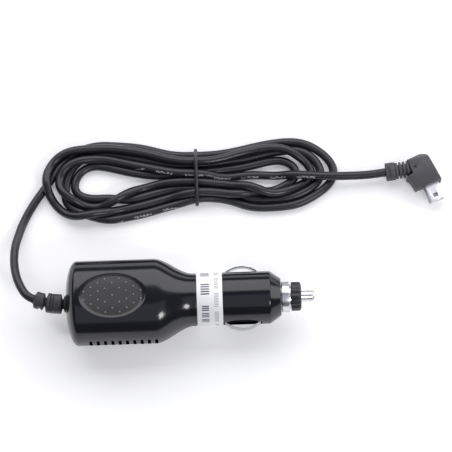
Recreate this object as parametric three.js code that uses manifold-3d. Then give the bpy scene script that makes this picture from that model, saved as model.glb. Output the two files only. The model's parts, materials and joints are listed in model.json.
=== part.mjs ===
// A 12 V accessory-socket charger with its tied cord and right-angle mini USB plug.
// Millimetres, +Z up. +X runs along the charger from the cord to the tip, and the table is z = 0.
// The origin is under the middle of the charger.
import * as THREE from 'three';
import { mergeVertices } from 'three/addons/utils/BufferGeometryUtils.js';
import Module from 'manifold-3d';

const wasm = await Module();
wasm.setup();

// ---------------------------------------------------------------- driving dimensions
const GAP = 0.3; // clearance between pieces that touch on the real object
const SEAM = 0.2; // parting line between the two half shells

const BODY_WIDTH = 33;
const BODY_HEIGHT = 28;
const BODY_LENGTH = 34.6; // rear end to the start of the shoulder
const BODY_ROUNDNESS = 2.25; // exponent of the body's rounded section, 2 is an ellipse
const CROWN_FLAT = 0.15; // how much the top and bottom crowns are flattened
const REAR_DOME = 4.8; // depth of the rounded rear end
const REAR_ROUNDNESS = 2.2;
const SHOULDER_LENGTH = 15.4;
const WALL = 2.2;

const BARREL_DIAMETER = 20.6;
const BARREL_LENGTH = 29.7;
const NOSE_LENGTH = 4.3;
const NOSE_DIAMETER = 14.5;

const RECESS_LENGTH = 26.6; // oval grip recess in each shell
const RECESS_WIDTH = 18.6;
const RECESS_DEPTH = 0.8;
const RECESS_FROM_REAR = 18.5;
const DOT_RADIUS = 0.4;
const DOT_HEIGHT = 0.3;
const DOT_PITCH = 2.77;
// Offsets of the dots across the body, by column from the middle one.
const DOT_COLUMNS = [[0, 5], [2.7, 6.6], [1.66, 5], [0, 3.3], [1.66]];

const VENT_COUNT = 10;
const VENT_PITCH = 2.84;
const VENT_WIDTH = 1.2;
const VENT_HEIGHT = 7.6;
const VENT_FROM_REAR = 9.5;

const LABEL_WIDTH = 10;
const LABEL_THICKNESS = 0.2;
const LABEL_FROM_BARREL = 1.2;
const LABEL_RECESS = 0.3;

const FUSE_DIAMETER = 6.35; // a standard 6.35 x 30 glass fuse
const FUSE_LENGTH = 30;
const FUSE_END_LENGTH = 6;
const CHAMBER_WALL = 1.2;
const WEB_THICKNESS = 1.6;

const BUSH_DIAMETER = 10;
const BUSH_BORE = 8;
const BUSH_DEPTH = 2.6; // how far the bush is let into the nose
const BUSH_SHOW = 0.5; // the bright edge left between the ring and the cap
const RING_DIAMETER = 12.2;
const RING_LENGTH = 3.1;

const CAP_DIAMETER = 11.3;
const CAP_LENGTH = 3.9;
const CAP_RIBS = 26;
const CAP_RIB_DEPTH = 0.35;
const SKIRT_LENGTH = 2.4;
const SKIRT_WALL = 0.7;
const WASHER_THICKNESS = 0.5;

const TIP_DIAMETER = 4.5;
const TIP_LENGTH = 5.3; // what stands out of the cap
const TIP_FLANGE_DIAMETER = 5.6;

const SPRING_WIRE = 0.6;
const SPRING_TURNS = 7;
const SPRING_ROOM = 10.5; // between the fuse and its rear terminal
const TERMINAL_THICKNESS = 0.5;

const LEAF_LENGTH = 14.4;
const LEAF_WIDTH = 4;
const LEAF_THICKNESS = 0.4;
const LEAF_PROUD = 2.1; // how far the bow stands out of the barrel
const LEAF_BOW = 2.8;
const LEAF_HOOK = 1.1;
const SLOT_FROM_BARREL = 11.6;
const SLOT_SIDE_GAP = 0.4;

const BOARD_LENGTH = 30;
const BOARD_WIDTH = 23;
const BOARD_THICKNESS = 1.2;
const BOARD_FROM_REAR = 7.5;
const CAN_RADIUS = 3.15;
const CAN_CLEARANCE = 1.18; // between a capacitor's top edge and the shell over it
const INPUT_CAN_Y = 5.5;
const OUTPUT_CAN_Y = -6.5;
const INDUCTOR_RADIUS = 4.2; // to the middle of the ring core
const INDUCTOR_CORE_RADIUS = 1.7;
const INDUCTOR_COIL_RADIUS = 2.35;
const INDUCTOR_WIRE_RADIUS = 0.35;
const INDUCTOR_TURNS = 14;
const INDUCTOR_FROM_BOARD_REAR = 13;
const INDUCTOR_Y = 4;

const CORD_DIAMETER = 3.4;
const CORD_SIDES = 8;
const CORD_STEP = 7; // one ring of the plain cord every 7 mm
const INNER_WIRE_DIAMETER = 1.2;

const HANK_LENGTH = 117.5;
const HANK_HEIGHT = 6.5;
const HANK_WAIST = 19.3;
const HANK_LEFT_WIDTH = 29.9;
const HANK_RIGHT_WIDTH = 28.4;
const HANK_LOBE = 21.3; // length of each rounded end, from its widest place
const HANK_X = 0.65;
const HANK_Y = 52.2;
const LIFT = 0.02; // cord pieces stand this much clear of the table

const TIE_X = 3.8;
const TIE_WIDTH = 1.3;
const TIE_THICKNESS = 0.8;

const PLUG_X = 96.6;
const PLUG_Y = 45.6;
const PLUG_TURN = THREE.MathUtils.degToRad(19.5);
const PLUG_THICKNESS = 7.6;
const PLUG_BEVEL = 0.6;
const RELIEF_TURN = THREE.MathUtils.degToRad(-13.5);
const RELIEF_DIAMETER = 6.6;
const RELIEF_RIBS = 4;
const RELIEF_PITCH = 1.5;
const COLLAR_DIAMETER = 7.2;
const COLLAR_LENGTH = 3.6;
const PLUG_RELIEF_PLACE = [-5.05, 9.1]; // where the ribbed relief leaves the overmould's back

const USB_WIDTH = 6.8;
const USB_NARROW = 5;
const USB_HEIGHT = 3;
const USB_STEP = 1.3; // height of the shell's wide half
const USB_WALL = 0.3;
const USB_LENGTH = 6.8;
const USB_SEAT = 3; // length of shell held in the overmould
const USB_WINDOW = 1.9;
const USB_CONTACTS = 5;
const USB_CONTACT_PITCH = 0.8;

// ---------------------------------------------------------------- places along the charger
const CHARGER_LENGTH = BODY_LENGTH + SHOULDER_LENGTH + BARREL_LENGTH + NOSE_LENGTH
  + RING_LENGTH + BUSH_SHOW + CAP_LENGTH + TIP_LENGTH + 2 * SEAM;
const REAR = -CHARGER_LENGTH / 2;
const SHOULDER = REAR + BODY_LENGTH;
const BARREL = SHOULDER + SHOULDER_LENGTH;
const NOSE = BARREL + BARREL_LENGTH;
const NOSE_FACE = NOSE + NOSE_LENGTH;
const RING = NOSE_FACE + SEAM;
const BUSH_FACE = RING + RING_LENGTH + BUSH_SHOW;
const CAP = BUSH_FACE + SEAM;
const CAP_FACE = CAP + CAP_LENGTH;
const TIP_END = CAP_FACE + TIP_LENGTH;
const AXIS_HEIGHT = BODY_HEIGHT / 2;

const BARREL_RADIUS = BARREL_DIAMETER / 2;
const CHAMBER_RADIUS = FUSE_DIAMETER / 2 + GAP;
const SKIRT_RADIUS = BUSH_BORE / 2 - 0.2;
const FLANGE_FACE = CAP - WASHER_THICKNESS - GAP;
const FUSE_FRONT = CAP - SKIRT_LENGTH - GAP;
const FUSE_REAR = FUSE_FRONT - FUSE_LENGTH;
const TERMINAL = FUSE_REAR - SPRING_ROOM - TERMINAL_THICKNESS;
const CHAMBER_REAR = TERMINAL - 1;
const CHAMBER_LAP = 0.4; // how far the webs run into the chamber's wall
// Middle of the room between the fuse chamber and the barrel's wall.
const LANE = (CHAMBER_RADIUS + CHAMBER_WALL + BARREL_RADIUS - WALL) / 2;
const LEAF_FOOT = Math.sqrt((BARREL_RADIUS - WALL) ** 2 - (LEAF_WIDTH / 2) ** 2) - LEAF_THICKNESS / 2 - 0.15;
const RELIEF_NECK_RADIUS = 2.3;

// ---------------------------------------------------------------- solids
const X_AXIS = new THREE.Vector3(1, 0, 0);

function solid(geometry) {
  const bare = geometry.clone();
  for (const name of Object.keys(bare.attributes)) {
    if (name !== 'position') bare.deleteAttribute(name);
  }
  const merged = mergeVertices(bare, 1e-4);
  return new wasm.Manifold(new wasm.Mesh({
    numProp: 3,
    vertProperties: merged.attributes.position.array,
    triVerts: new Uint32Array(merged.index.array),
  }));
}

function geometryOf(manifold) {
  const mesh = manifold.getMesh();
  const geometry = new THREE.BufferGeometry();
  geometry.setAttribute('position', new THREE.BufferAttribute(mesh.vertProperties, 3));
  geometry.setIndex(new THREE.BufferAttribute(mesh.triVerts, 1));
  const flat = geometry.toNonIndexed();
  flat.computeVertexNormals();
  return flat;
}

function box(x0, x1, y0, y1, z0, z1) {
  return new THREE.BoxGeometry(x1 - x0, y1 - y0, z1 - z0)
    .translate((x0 + x1) / 2, (y0 + y1) / 2, (z0 + z1) / 2);
}

// A cylinder that lies along X from x0 to x1.
function rod(radius, x0, x1, sides = 32) {
  return new THREE.CylinderGeometry(radius, radius, x1 - x0, sides)
    .rotateZ(-Math.PI / 2)
    .translate((x0 + x1) / 2, 0, 0);
}

// A shape turned about X: the profile is [x, radius] pairs and runs forwards on its outside.
function turned(profile, sides = 32) {
  const points = profile.map(([x, r]) => new THREE.Vector2(r, x));
  return new THREE.LatheGeometry(points, sides).rotateZ(-Math.PI / 2);
}

// A tube turned about X, with a bore right through it.
function sleeve(outer, inner, x0, x1, sides = 32) {
  return turned([[x0, inner], [x0, outer], [x1, outer], [x1, inner], [x0, inner]], sides);
}

// A round wire or cord of the given number of sides along a curve.
function tube(curve, radius, steps, sides) {
  const section = new THREE.Shape();
  for (let i = 0; i < sides; i += 1) {
    const angle = (2 * Math.PI * (i + 0.5)) / sides;
    const x = radius * Math.cos(angle);
    const y = radius * Math.sin(angle);
    if (i === 0) section.moveTo(x, y);
    else section.lineTo(x, y);
  }
  section.closePath();
  return new THREE.ExtrudeGeometry(section, { steps, extrudePath: curve, bevelEnabled: false });
}

function curveThrough(points) {
  return new THREE.CatmullRomCurve3(points.map((p) => new THREE.Vector3(...p)), false, 'centripetal');
}

function polygon(points) {
  return new THREE.Shape(points.map(([x, y]) => new THREE.Vector2(x, y)));
}

const materials = {
  gloss: [0x17181b, 0.18, 0],
  grip: [0x2b2c2f, 0.75, 0],
  pvc: [0x2a2b2d, 0.5, 0],
  knurl: [0x1c1d1f, 0.5, 0],
  paper: [0xf0f0ee, 0.6, 0],
  nickel: [0xcfd0d2, 0.22, 1],
  spring: [0xb9bbbe, 0.3, 1],
  brass: [0xc9a860, 0.35, 1],
  copper: [0xb5703c, 0.35, 1],
  glass: [0xdfe8ea, 0.05, 0],
  board: [0x2f6b3f, 0.5, 0],
  ferrite: [0x3a3d40, 0.7, 0],
  can: [0x2a3d66, 0.4, 0],
  chip: [0x222222, 0.6, 0],
  red: [0xa82020, 0.5, 0],
  black: [0x202020, 0.5, 0],
};

function mesh(name, geometry, finish) {
  const [color, roughness, metalness] = materials[finish];
  const made = new THREE.Mesh(geometry, new THREE.MeshStandardMaterial({ color, roughness, metalness }));
  made.name = name;
  return made;
}

// ---------------------------------------------------------------- charger housing
function smooth(t) {
  const k = Math.min(1, Math.max(0, t));
  return k * k * (3 - 2 * k);
}

// Half width, half height and roundness of the housing's section at x.
function sectionAt(x) {
  const toBarrel = smooth((x - SHOULDER) / SHOULDER_LENGTH);
  const toNose = Math.max(0, (x - NOSE) / NOSE_LENGTH);
  const nose = toNose * (BARREL_RADIUS - NOSE_DIAMETER / 2);
  return {
    width: THREE.MathUtils.lerp(BODY_WIDTH / 2, BARREL_RADIUS, toBarrel) - nose,
    height: THREE.MathUtils.lerp(BODY_HEIGHT / 2 + CROWN_FLAT, BARREL_RADIUS, toBarrel) - nose,
    roundness: THREE.MathUtils.lerp(BODY_ROUNDNESS, 2, toBarrel),
  };
}

function power(value, exponent) {
  return Math.sign(value) * Math.abs(value) ** exponent;
}

// The bottle shape, sunk by `inset` all round, from its rear dome to `front`.
function bottle(inset, front, sides = 52) {
  const rear = REAR + inset;
  const profile = [[rear, 0]];
  const domeSteps = 6;
  for (let i = 1; i <= domeSteps; i += 1) {
    const angle = (Math.PI / 2) * (i / domeSteps);
    const along = 1 - power(Math.cos(angle), 2 / REAR_ROUNDNESS);
    const out = power(Math.sin(angle), 2 / REAR_ROUNDNESS);
    profile.push([rear + REAR_DOME * along, out]);
  }
  const shoulderSteps = 7;
  for (let i = 0; i <= shoulderSteps; i += 1) {
    profile.push([SHOULDER + (SHOULDER_LENGTH * i) / shoulderSteps, 1]);
  }
  if (front > NOSE) profile.push([NOSE, 1]);
  profile.push([front, 1], [front, 0]);
  const geometry = turned(profile, sides);
  const position = geometry.attributes.position;
  for (let i = 0; i < position.count; i += 1) {
    const x = position.getX(i);
    const out = Math.hypot(position.getY(i), position.getZ(i));
    const angle = Math.atan2(position.getZ(i), position.getY(i));
    const { width, height, roundness } = sectionAt(x);
    const crown = height - inset - (x < SHOULDER ? CROWN_FLAT : 0);
    const y = out * (width - inset) * power(Math.cos(angle), 2 / roundness);
    const z = out * (height - inset) * power(Math.sin(angle), 2 / roundness);
    position.setXYZ(i, x, y, THREE.MathUtils.clamp(z, -crown, crown));
  }
  return geometry;
}

// Height of the sunk crown above the axis at a place y across the body.
function crownHeight(y, inset) {
  const { width, height, roundness } = sectionAt(REAR + RECESS_FROM_REAR);
  const share = 1 - (Math.abs(y) / (width - inset)) ** roundness;
  return Math.min((height - inset) * share ** (1 / roundness), height - inset - CROWN_FLAT);
}

function gripRecess() {
  const oval = new THREE.CylinderGeometry(1, 1, BODY_HEIGHT, 40)
    .rotateX(Math.PI / 2)
    .scale(RECESS_LENGTH / 2, RECESS_WIDTH / 2, 1)
    .translate(REAR + RECESS_FROM_REAR, 0, BODY_HEIGHT / 2);
  return solid(oval).subtract(solid(bottle(RECESS_DEPTH, NOSE)));
}

function gripDots() {
  const dots = [];
  DOT_COLUMNS.forEach((offsets, column) => {
    for (const side of column === 0 ? [1] : [-1, 1]) {
      for (const offset of offsets) {
        for (const way of offset === 0 ? [1] : [-1, 1]) {
          const y = way * offset;
          const x = REAR + RECESS_FROM_REAR + side * column * DOT_PITCH;
          dots.push(new THREE.ConeGeometry(DOT_RADIUS, 2 * DOT_HEIGHT, 6)
            .rotateX(Math.PI / 2)
            .translate(x, y, crownHeight(y, RECESS_DEPTH)));
        }
      }
    }
  });
  return dots.map(solid);
}

function vents() {
  const first = REAR + VENT_FROM_REAR;
  const edge = -BODY_WIDTH / 2;
  return Array.from({ length: VENT_COUNT }, (_, i) => {
    const x = first + i * VENT_PITCH;
    return solid(box(x - VENT_WIDTH / 2, x + VENT_WIDTH / 2, edge - 1, edge + WALL + 2,
      -VENT_HEIGHT / 2, VENT_HEIGHT / 2));
  });
}

// Where the two leaf contacts pass through the barrel.
function leafSlot(side) {
  const x = BARREL + SLOT_FROM_BARREL;
  const half = LEAF_WIDTH / 2 + SLOT_SIDE_GAP;
  const inner = BARREL_RADIUS - WALL - 1;
  const outer = BARREL_RADIUS + 1;
  return solid(box(x - GAP, x + LEAF_LENGTH + GAP, Math.min(side * inner, side * outer),
    Math.max(side * inner, side * outer), -half, half));
}

// The whole housing, drawn as one piece and then parted on its middle plane.
function wholeHousing() {
  const outerChamber = CHAMBER_RADIUS + CHAMBER_WALL;
  let housing = solid(bottle(0, NOSE_FACE)).subtract(solid(bottle(WALL, NOSE - WALL)));
  housing = housing.add(solid(rod(outerChamber, CHAMBER_REAR, NOSE)));
  housing = housing.add(solid(box(CHAMBER_REAR, NOSE, -WEB_THICKNESS / 2, WEB_THICKNESS / 2,
    outerChamber - CHAMBER_LAP, BARREL_RADIUS - WALL / 2)));
  housing = housing.add(solid(box(CHAMBER_REAR, NOSE, -WEB_THICKNESS / 2, WEB_THICKNESS / 2,
    WALL / 2 - BARREL_RADIUS, CHAMBER_LAP - outerChamber)));
  housing = housing.subtract(solid(rod(CHAMBER_RADIUS, CHAMBER_REAR - 1, NOSE_FACE + 1)));
  const bushSeat = rod(BUSH_DIAMETER / 2 + SEAM, NOSE_FACE - BUSH_DEPTH - SEAM, NOSE_FACE + 1);
  housing = housing.subtract(solid(bushSeat));
  const labelX = BARREL + LABEL_FROM_BARREL - SEAM;
  housing = housing.subtract(solid(sleeve(BARREL_RADIUS + 1, BARREL_RADIUS - LABEL_RECESS,
    labelX, labelX + LABEL_WIDTH + 2 * SEAM, 52)));
  housing = housing.subtract(solid(rod(RELIEF_NECK_RADIUS + GAP, REAR - 1, REAR + 2 * WALL, 20)));
  for (const cut of [...vents(), leafSlot(1), leafSlot(-1)]) housing = housing.subtract(cut);
  return housing;
}

function halfShells() {
  const whole = wholeHousing();
  const upperSide = solid(box(REAR - 1, TIP_END, -BODY_WIDTH, BODY_WIDTH, SEAM / 2, BODY_HEIGHT));
  const lowerSide = solid(box(REAR - 1, TIP_END, -BODY_WIDTH, BODY_WIDTH, -BODY_HEIGHT, -SEAM / 2));
  const recess = gripRecess();
  let upper = whole.intersect(upperSide).subtract(recess);
  let lower = whole.intersect(lowerSide).subtract(recess.rotate([180, 0, 0]));
  for (const dot of gripDots()) {
    upper = upper.add(dot);
    lower = lower.add(dot.rotate([180, 0, 0]));
  }
  return [
    mesh('upper_housing', geometryOf(upper), 'gloss'),
    mesh('lower_housing', geometryOf(lower), 'gloss'),
  ];
}

function labelSleeve() {
  const x = BARREL + LABEL_FROM_BARREL;
  const inner = BARREL_RADIUS - LABEL_RECESS + 0.15;
  return mesh('label_sleeve', sleeve(inner + LABEL_THICKNESS, inner, x, x + LABEL_WIDTH, 52), 'paper');
}

// ---------------------------------------------------------------- nose, cap, tip and fuse
function noseParts() {
  const bushRadius = BUSH_DIAMETER / 2;
  const ringRadius = RING_DIAMETER / 2;
  const bush = sleeve(bushRadius, BUSH_BORE / 2, NOSE_FACE - BUSH_DEPTH, BUSH_FACE);
  const ringBore = bushRadius + SEAM;
  const ring = turned([
    [RING, ringBore], [RING, ringRadius - 0.25], [RING + 0.25, ringRadius],
    [RING + RING_LENGTH - 0.25, ringRadius], [RING + RING_LENGTH, ringRadius - 0.25],
    [RING + RING_LENGTH, ringBore], [RING, ringBore],
  ], 40);
  return [mesh('threaded_bush', bush, 'nickel'), mesh('retaining_ring', ring, 'nickel')];
}

function fuseCap() {
  const radius = CAP_DIAMETER / 2;
  const outline = new THREE.Shape();
  for (let i = 0; i < 2 * CAP_RIBS; i += 1) {
    const angle = (Math.PI * (i + 0.5)) / CAP_RIBS;
    const out = radius - (Math.floor((i + 1) / 2) % 2) * CAP_RIB_DEPTH;
    if (i === 0) outline.moveTo(out * Math.cos(angle), out * Math.sin(angle));
    else outline.lineTo(out * Math.cos(angle), out * Math.sin(angle));
  }
  outline.closePath();
  const knurled = new THREE.ExtrudeGeometry(outline, { depth: CAP_LENGTH, bevelEnabled: false })
    .rotateY(Math.PI / 2)
    .translate(CAP, 0, 0);
  const rounded = turned([[CAP - 1, 0], [CAP - 1, radius], [CAP + 0.2, radius + 0.3],
    [CAP_FACE - 0.9, radius + 0.1], [CAP_FACE - 0.3, radius - 0.4], [CAP_FACE, radius - 1], [CAP_FACE, 0]]);
  const made = solid(knurled)
    .intersect(solid(rounded))
    .add(solid(rod(SKIRT_RADIUS, CAP - SKIRT_LENGTH, CAP + 0.5)))
    .subtract(solid(rod(TIP_DIAMETER / 2 + 0.15, CAP - 1, CAP_FACE + 1)))
    .subtract(solid(rod(SKIRT_RADIUS - SKIRT_WALL, CAP - SKIRT_LENGTH - 1, CAP)));
  return mesh('fuse_cap', geometryOf(made), 'knurl');
}

// A thin washer under the cap's head, between it and the tip's flange.
function capWasher() {
  const outer = SKIRT_RADIUS - SKIRT_WALL - 0.1;
  const x = CAP - WASHER_THICKNESS - 0.1;
  return mesh('cap_washer', sleeve(outer, TIP_DIAMETER / 2 + 0.15, x, x + WASHER_THICKNESS, 28), 'paper');
}

function tipContact() {
  const radius = TIP_DIAMETER / 2;
  const flange = TIP_FLANGE_DIAMETER / 2;
  const front = FLANGE_FACE;
  const rear = FUSE_FRONT + 0.15;
  return mesh('tip_contact', turned([
    [rear, 0], [rear, flange], [front, flange], [front, radius],
    [TIP_END - 0.9, radius], [TIP_END - 0.35, radius * 0.86], [TIP_END, radius * 0.6], [TIP_END, 0],
  ], 28), 'nickel');
}

function fuse() {
  const radius = FUSE_DIAMETER / 2;
  const glassRadius = radius - 0.5;
  const glass = sleeve(glassRadius, glassRadius - 0.7, FUSE_REAR + 0.7, FUSE_FRONT - 0.7, 24);
  const cup = (closed, open) => {
    const way = Math.sign(open - closed);
    const inside = closed + way * 0.4;
    const profile = [
      [closed, 0], [closed, radius], [open, radius],
      [open, radius - 0.3], [inside, radius - 0.3], [inside, 0],
    ];
    return turned(way > 0 ? profile : profile.reverse(), 24);
  };
  const wire = curveThrough([
    [FUSE_REAR + 0.8, 0, 0], [FUSE_REAR + FUSE_LENGTH / 2, 0, 0.3], [FUSE_FRONT - 0.8, 0, 0],
  ]);
  return [
    mesh('fuse_glass', glass, 'glass'),
    mesh('fuse_end_rear', cup(FUSE_REAR, FUSE_REAR + FUSE_END_LENGTH), 'nickel'),
    mesh('fuse_end_front', cup(FUSE_FRONT, FUSE_FRONT - FUSE_END_LENGTH), 'nickel'),
    mesh('fuse_wire', tube(wire, 0.15, 8, 5), 'copper'),
  ];
}

class Helix extends THREE.Curve {
  constructor(x0, x1, radius, turns) {
    super();
    Object.assign(this, { x0, x1, radius, turns });
  }

  getPoint(t, target = new THREE.Vector3()) {
    const angle = 2 * Math.PI * this.turns * t;
    return target.set(THREE.MathUtils.lerp(this.x0, this.x1, t), this.radius * Math.cos(angle),
      this.radius * Math.sin(angle));
  }
}

function springAndTerminal() {
  const radius = CHAMBER_RADIUS - GAP - SPRING_WIRE / 2;
  const start = TERMINAL + TERMINAL_THICKNESS + SPRING_WIRE / 2 + 0.1;
  const end = FUSE_REAR - SPRING_WIRE / 2 - 0.1;
  const coil = tube(new Helix(start, end, radius, SPRING_TURNS), SPRING_WIRE / 2, SPRING_TURNS * 12, 6);
  const plate = turned([[TERMINAL, 0], [TERMINAL, CHAMBER_RADIUS - 0.1],
    [TERMINAL + TERMINAL_THICKNESS, CHAMBER_RADIUS - 0.1], [TERMINAL + TERMINAL_THICKNESS, 0]], 24);
  const tag = box(TERMINAL - 3.5, TERMINAL + 0.2, -0.9, 0.9, -0.2, 0.2);
  return [
    mesh('contact_spring', coil, 'spring'),
    mesh('spring_terminal', geometryOf(solid(plate).add(solid(tag))), 'brass'),
  ];
}

// A bowed spring strip with a hooked leg at each end, which hold it inside the barrel.
function leafContact(side) {
  const rear = BARREL + SLOT_FROM_BARREL;
  const middle = rear + LEAF_LENGTH / 2;
  const peak = BARREL_RADIUS + LEAF_PROUD;
  const base = peak - LEAF_BOW;
  const halfChord = LEAF_LENGTH / 2 - LEAF_THICKNESS / 2;
  const radius = (halfChord ** 2 + LEAF_BOW ** 2) / (2 * LEAF_BOW);
  const centre = peak - radius;
  const sweep = Math.asin(halfChord / radius);
  const foot = LEAF_FOOT;
  const steps = 12;
  const arc = (r, way) => Array.from({ length: steps + 1 }, (_, i) => {
    const angle = way * sweep * (1 - (2 * i) / steps);
    return [middle - r * Math.sin(angle), centre + r * Math.cos(angle)];
  });
  const half = LEAF_THICKNESS / 2;
  const left = middle - halfChord;
  const right = middle + halfChord;
  const points = [
    [left - LEAF_HOOK, foot + half], [left - half, foot + half],
    ...arc(radius + half, 1).filter(([x]) => x > left - half && x < right + half),
    [right + half, foot + half], [right + LEAF_HOOK, foot + half],
    [right + LEAF_HOOK, foot - half], [right - half, foot - half],
    ...arc(radius - half, -1).filter(([x]) => x > left + half && x < right - half),
    [left + half, foot - half], [left - LEAF_HOOK, foot - half],
  ].map(([x, y]) => [x, side * y]);
  const strip = new THREE.ExtrudeGeometry(polygon(points), { depth: LEAF_WIDTH, bevelEnabled: false })
    .translate(0, 0, -LEAF_WIDTH / 2);
  return mesh(side > 0 ? 'side_contact_left' : 'side_contact_right', strip, 'spring');
}

// ---------------------------------------------------------------- electronics
class ToroidCoil extends THREE.Curve {
  constructor(ring, radius, turns) {
    super();
    Object.assign(this, { ring, radius, turns });
  }

  getPoint(t, target = new THREE.Vector3()) {
    const round = 2 * Math.PI * (0.04 + 0.92 * t);
    const angle = 2 * Math.PI * this.turns * t;
    const out = this.ring + this.radius * Math.cos(angle);
    return target.set(out * Math.cos(round), out * Math.sin(round), this.radius * Math.sin(angle));
  }
}

function electronics() {
  const rear = REAR + BOARD_FROM_REAR;
  const front = rear + BOARD_LENGTH;
  const top = BOARD_THICKNESS / 2 + GAP / 2;
  const halfBoard = BOARD_WIDTH / 2;
  const board = box(rear, front, -halfBoard, halfBoard, -BOARD_THICKNESS / 2, BOARD_THICKNESS / 2);
  const canEdge = Math.max(Math.abs(INPUT_CAN_Y), Math.abs(OUTPUT_CAN_Y)) + CAN_RADIUS;
  const canHeight = crownHeight(canEdge, WALL) - top - CAN_CLEARANCE;
  const can = (x, y) => new THREE.CylinderGeometry(CAN_RADIUS, CAN_RADIUS, canHeight, 20)
    .rotateX(Math.PI / 2)
    .translate(x, y, top + canHeight / 2);
  const inductorPlace = [
    rear + INDUCTOR_FROM_BOARD_REAR, INDUCTOR_Y, top + INDUCTOR_COIL_RADIUS + INDUCTOR_WIRE_RADIUS + 0.1,
  ];
  const core = new THREE.TorusGeometry(INDUCTOR_RADIUS, INDUCTOR_CORE_RADIUS, 8, 20)
    .translate(...inductorPlace);
  const winding = new ToroidCoil(INDUCTOR_RADIUS, INDUCTOR_COIL_RADIUS, INDUCTOR_TURNS);
  const coil = tube(winding, INDUCTOR_WIRE_RADIUS, INDUCTOR_TURNS * 7, 5).translate(...inductorPlace);
  return [
    mesh('circuit_board', board, 'board'),
    mesh('inductor_core', core, 'ferrite'),
    mesh('inductor_winding', coil, 'copper'),
    mesh('input_capacitor', can(front - 5, INPUT_CAN_Y), 'can'),
    mesh('output_capacitor', can(rear + 4.5, OUTPUT_CAN_Y), 'can'),
    mesh('regulator_chip', box(rear + 14.5, rear + 19.5, -9, -5, top, top + 1.5), 'chip'),
    mesh('diode', box(front - 8.5, front - 4, -7, -4.3, top, top + 2.1), 'chip'),
  ];
}

function innerWires() {
  const front = REAR + BOARD_FROM_REAR + BOARD_LENGTH;
  const rear = REAR + BOARD_FROM_REAR;
  const top = BOARD_THICKNESS / 2 + GAP;
  const wire = INNER_WIRE_DIAMETER / 2;
  const leafRear = BARREL + SLOT_FROM_BARREL - LEAF_HOOK;
  const toSide = (side) => curveThrough([
    [front - 2, side * 8.5, top + wire], [front + 3, side * 8, top + wire + 1.2],
    [BARREL - 2, side * LANE, top + wire], [leafRear - 1.5, side * LANE, 0.4],
  ]);
  const toTip = curveThrough([
    [front - 2, 0, top + wire + 0.1], [front, 0.2, top + wire + 0.5], [TERMINAL - 4.3, 0, 0.6],
  ]);
  const fromCord = (y) => curveThrough([
    [REAR + WALL + 2.2, y, 0.6], [rear - 0.6, y * 1.3, 1.2], [rear + 1.6, y * 2, top + wire + 0.1],
  ]);
  return [
    mesh('wire_side_left', tube(toSide(1), wire, 10, 6), 'black'),
    mesh('wire_side_right', tube(toSide(-1), wire, 10, 6), 'black'),
    mesh('wire_tip', tube(toTip, wire, 8, 6), 'red'),
    mesh('cord_wire_positive', tube(fromCord(0.9), wire, 6, 6), 'red'),
    mesh('cord_wire_negative', tube(fromCord(-0.9), wire, 6, 6), 'black'),
  ];
}

// ---------------------------------------------------------------- strain relief and cord
const RELIEF_CURVE = curveThrough([
  [REAR + WALL + 1.9, 0, AXIS_HEIGHT], [REAR, 0, AXIS_HEIGHT], [REAR - 4.2, 0.3, AXIS_HEIGHT],
  [REAR - 8.4, 1.1, AXIS_HEIGHT], [REAR - 12.6, 2.4, AXIS_HEIGHT],
]);

// Puts a shape drawn about the origin on a curve, its X axis along the curve.
function onCurve(geometry, curve, t) {
  const turn = new THREE.Quaternion().setFromUnitVectors(X_AXIS, curve.getTangentAt(t));
  return geometry.applyQuaternion(turn).translate(...curve.getPointAt(t));
}

// The moulded sleeve at the back: a flange each side of the wall, then two slotted lobes.
function strainRelief() {
  const length = RELIEF_CURVE.getLength();
  const at = (distance) => (WALL + 1.9 + distance) / length;
  let made = solid(tube(RELIEF_CURVE, RELIEF_NECK_RADIUS, 10, 12));
  const flangeInside = rod(RELIEF_NECK_RADIUS + 1.6, -0.6, 0.6, 20)
    .translate(REAR + WALL + GAP + 0.9, 0, AXIS_HEIGHT);
  const flangeOutside = rod(RELIEF_NECK_RADIUS + 1.2, -0.4, 0.4, 20)
    .translate(REAR - 0.7, 0, AXIS_HEIGHT);
  made = made.add(solid(flangeInside)).add(solid(flangeOutside));
  for (const [distance, long, high] of [[5, 5.8, 7.4], [10.6, 4.2, 6.6]]) {
    const lobe = box(-long / 2, long / 2, -high / 2, high / 2, -2.9, 2.9);
    made = made.add(solid(onCurve(lobe, RELIEF_CURVE, at(distance))));
  }
  for (const [distance, deep] of [[4.1, 1.4], [6.6, 2], [10.4, 1.4]]) {
    for (const side of [-1, 1]) {
      const slot = box(-0.6, 0.6, -0.15 - deep / 2, 0.15 + deep / 2, -4, 4)
        .translate(0, side * (4.05 - deep / 2), 0);
      made = made.subtract(solid(onCurve(slot, RELIEF_CURVE, at(distance))));
    }
  }
  return mesh('strain_relief', geometryOf(made), 'pvc');
}

// The stretch from the strain relief down to the table and round to the hank.
const LYING = CORD_DIAMETER / 2 + LIFT; // height of the cord's middle where it lies on the table
const LEAD_POINTS = [
  [REAR - 13.2, 2.75, 14], [REAR - 15, 3.9, 13.8], [REAR - 16.6, 5.9, 13.2], [REAR - 18.4, 9.7, 12],
  [REAR - 19.6, 13.9, 10.2], [REAR - 20.2, 18.4, 8.1], [REAR - 20.2, 22.7, 6.1], [REAR - 19.7, 26.8, 4.4],
  [REAR - 18.5, 31, 3], [REAR - 17.1, 35, 2.1], [REAR - 15.3, 38.8, LYING], [REAR - 13.2, 42.4, LYING],
  [REAR - 11.9, 44.4, LYING], [REAR - 10.8, 46, LYING],
];

// The stretch from the hank to the plug's relief, at the height of the plug's middle where it ends.
const RELIEF_HEIGHT = LIFT + PLUG_THICKNESS / 2;
const TAIL_POINTS = [
  [60.4, 50.3, 4.6], [63, 50.4, 4.4], [66, 50.45, 4.2], [69, 50.55, 4],
  [72, 50.7, 3.9], [75, 50.98, 3.85], [78.6, 51.42, RELIEF_HEIGHT],
];

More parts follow.
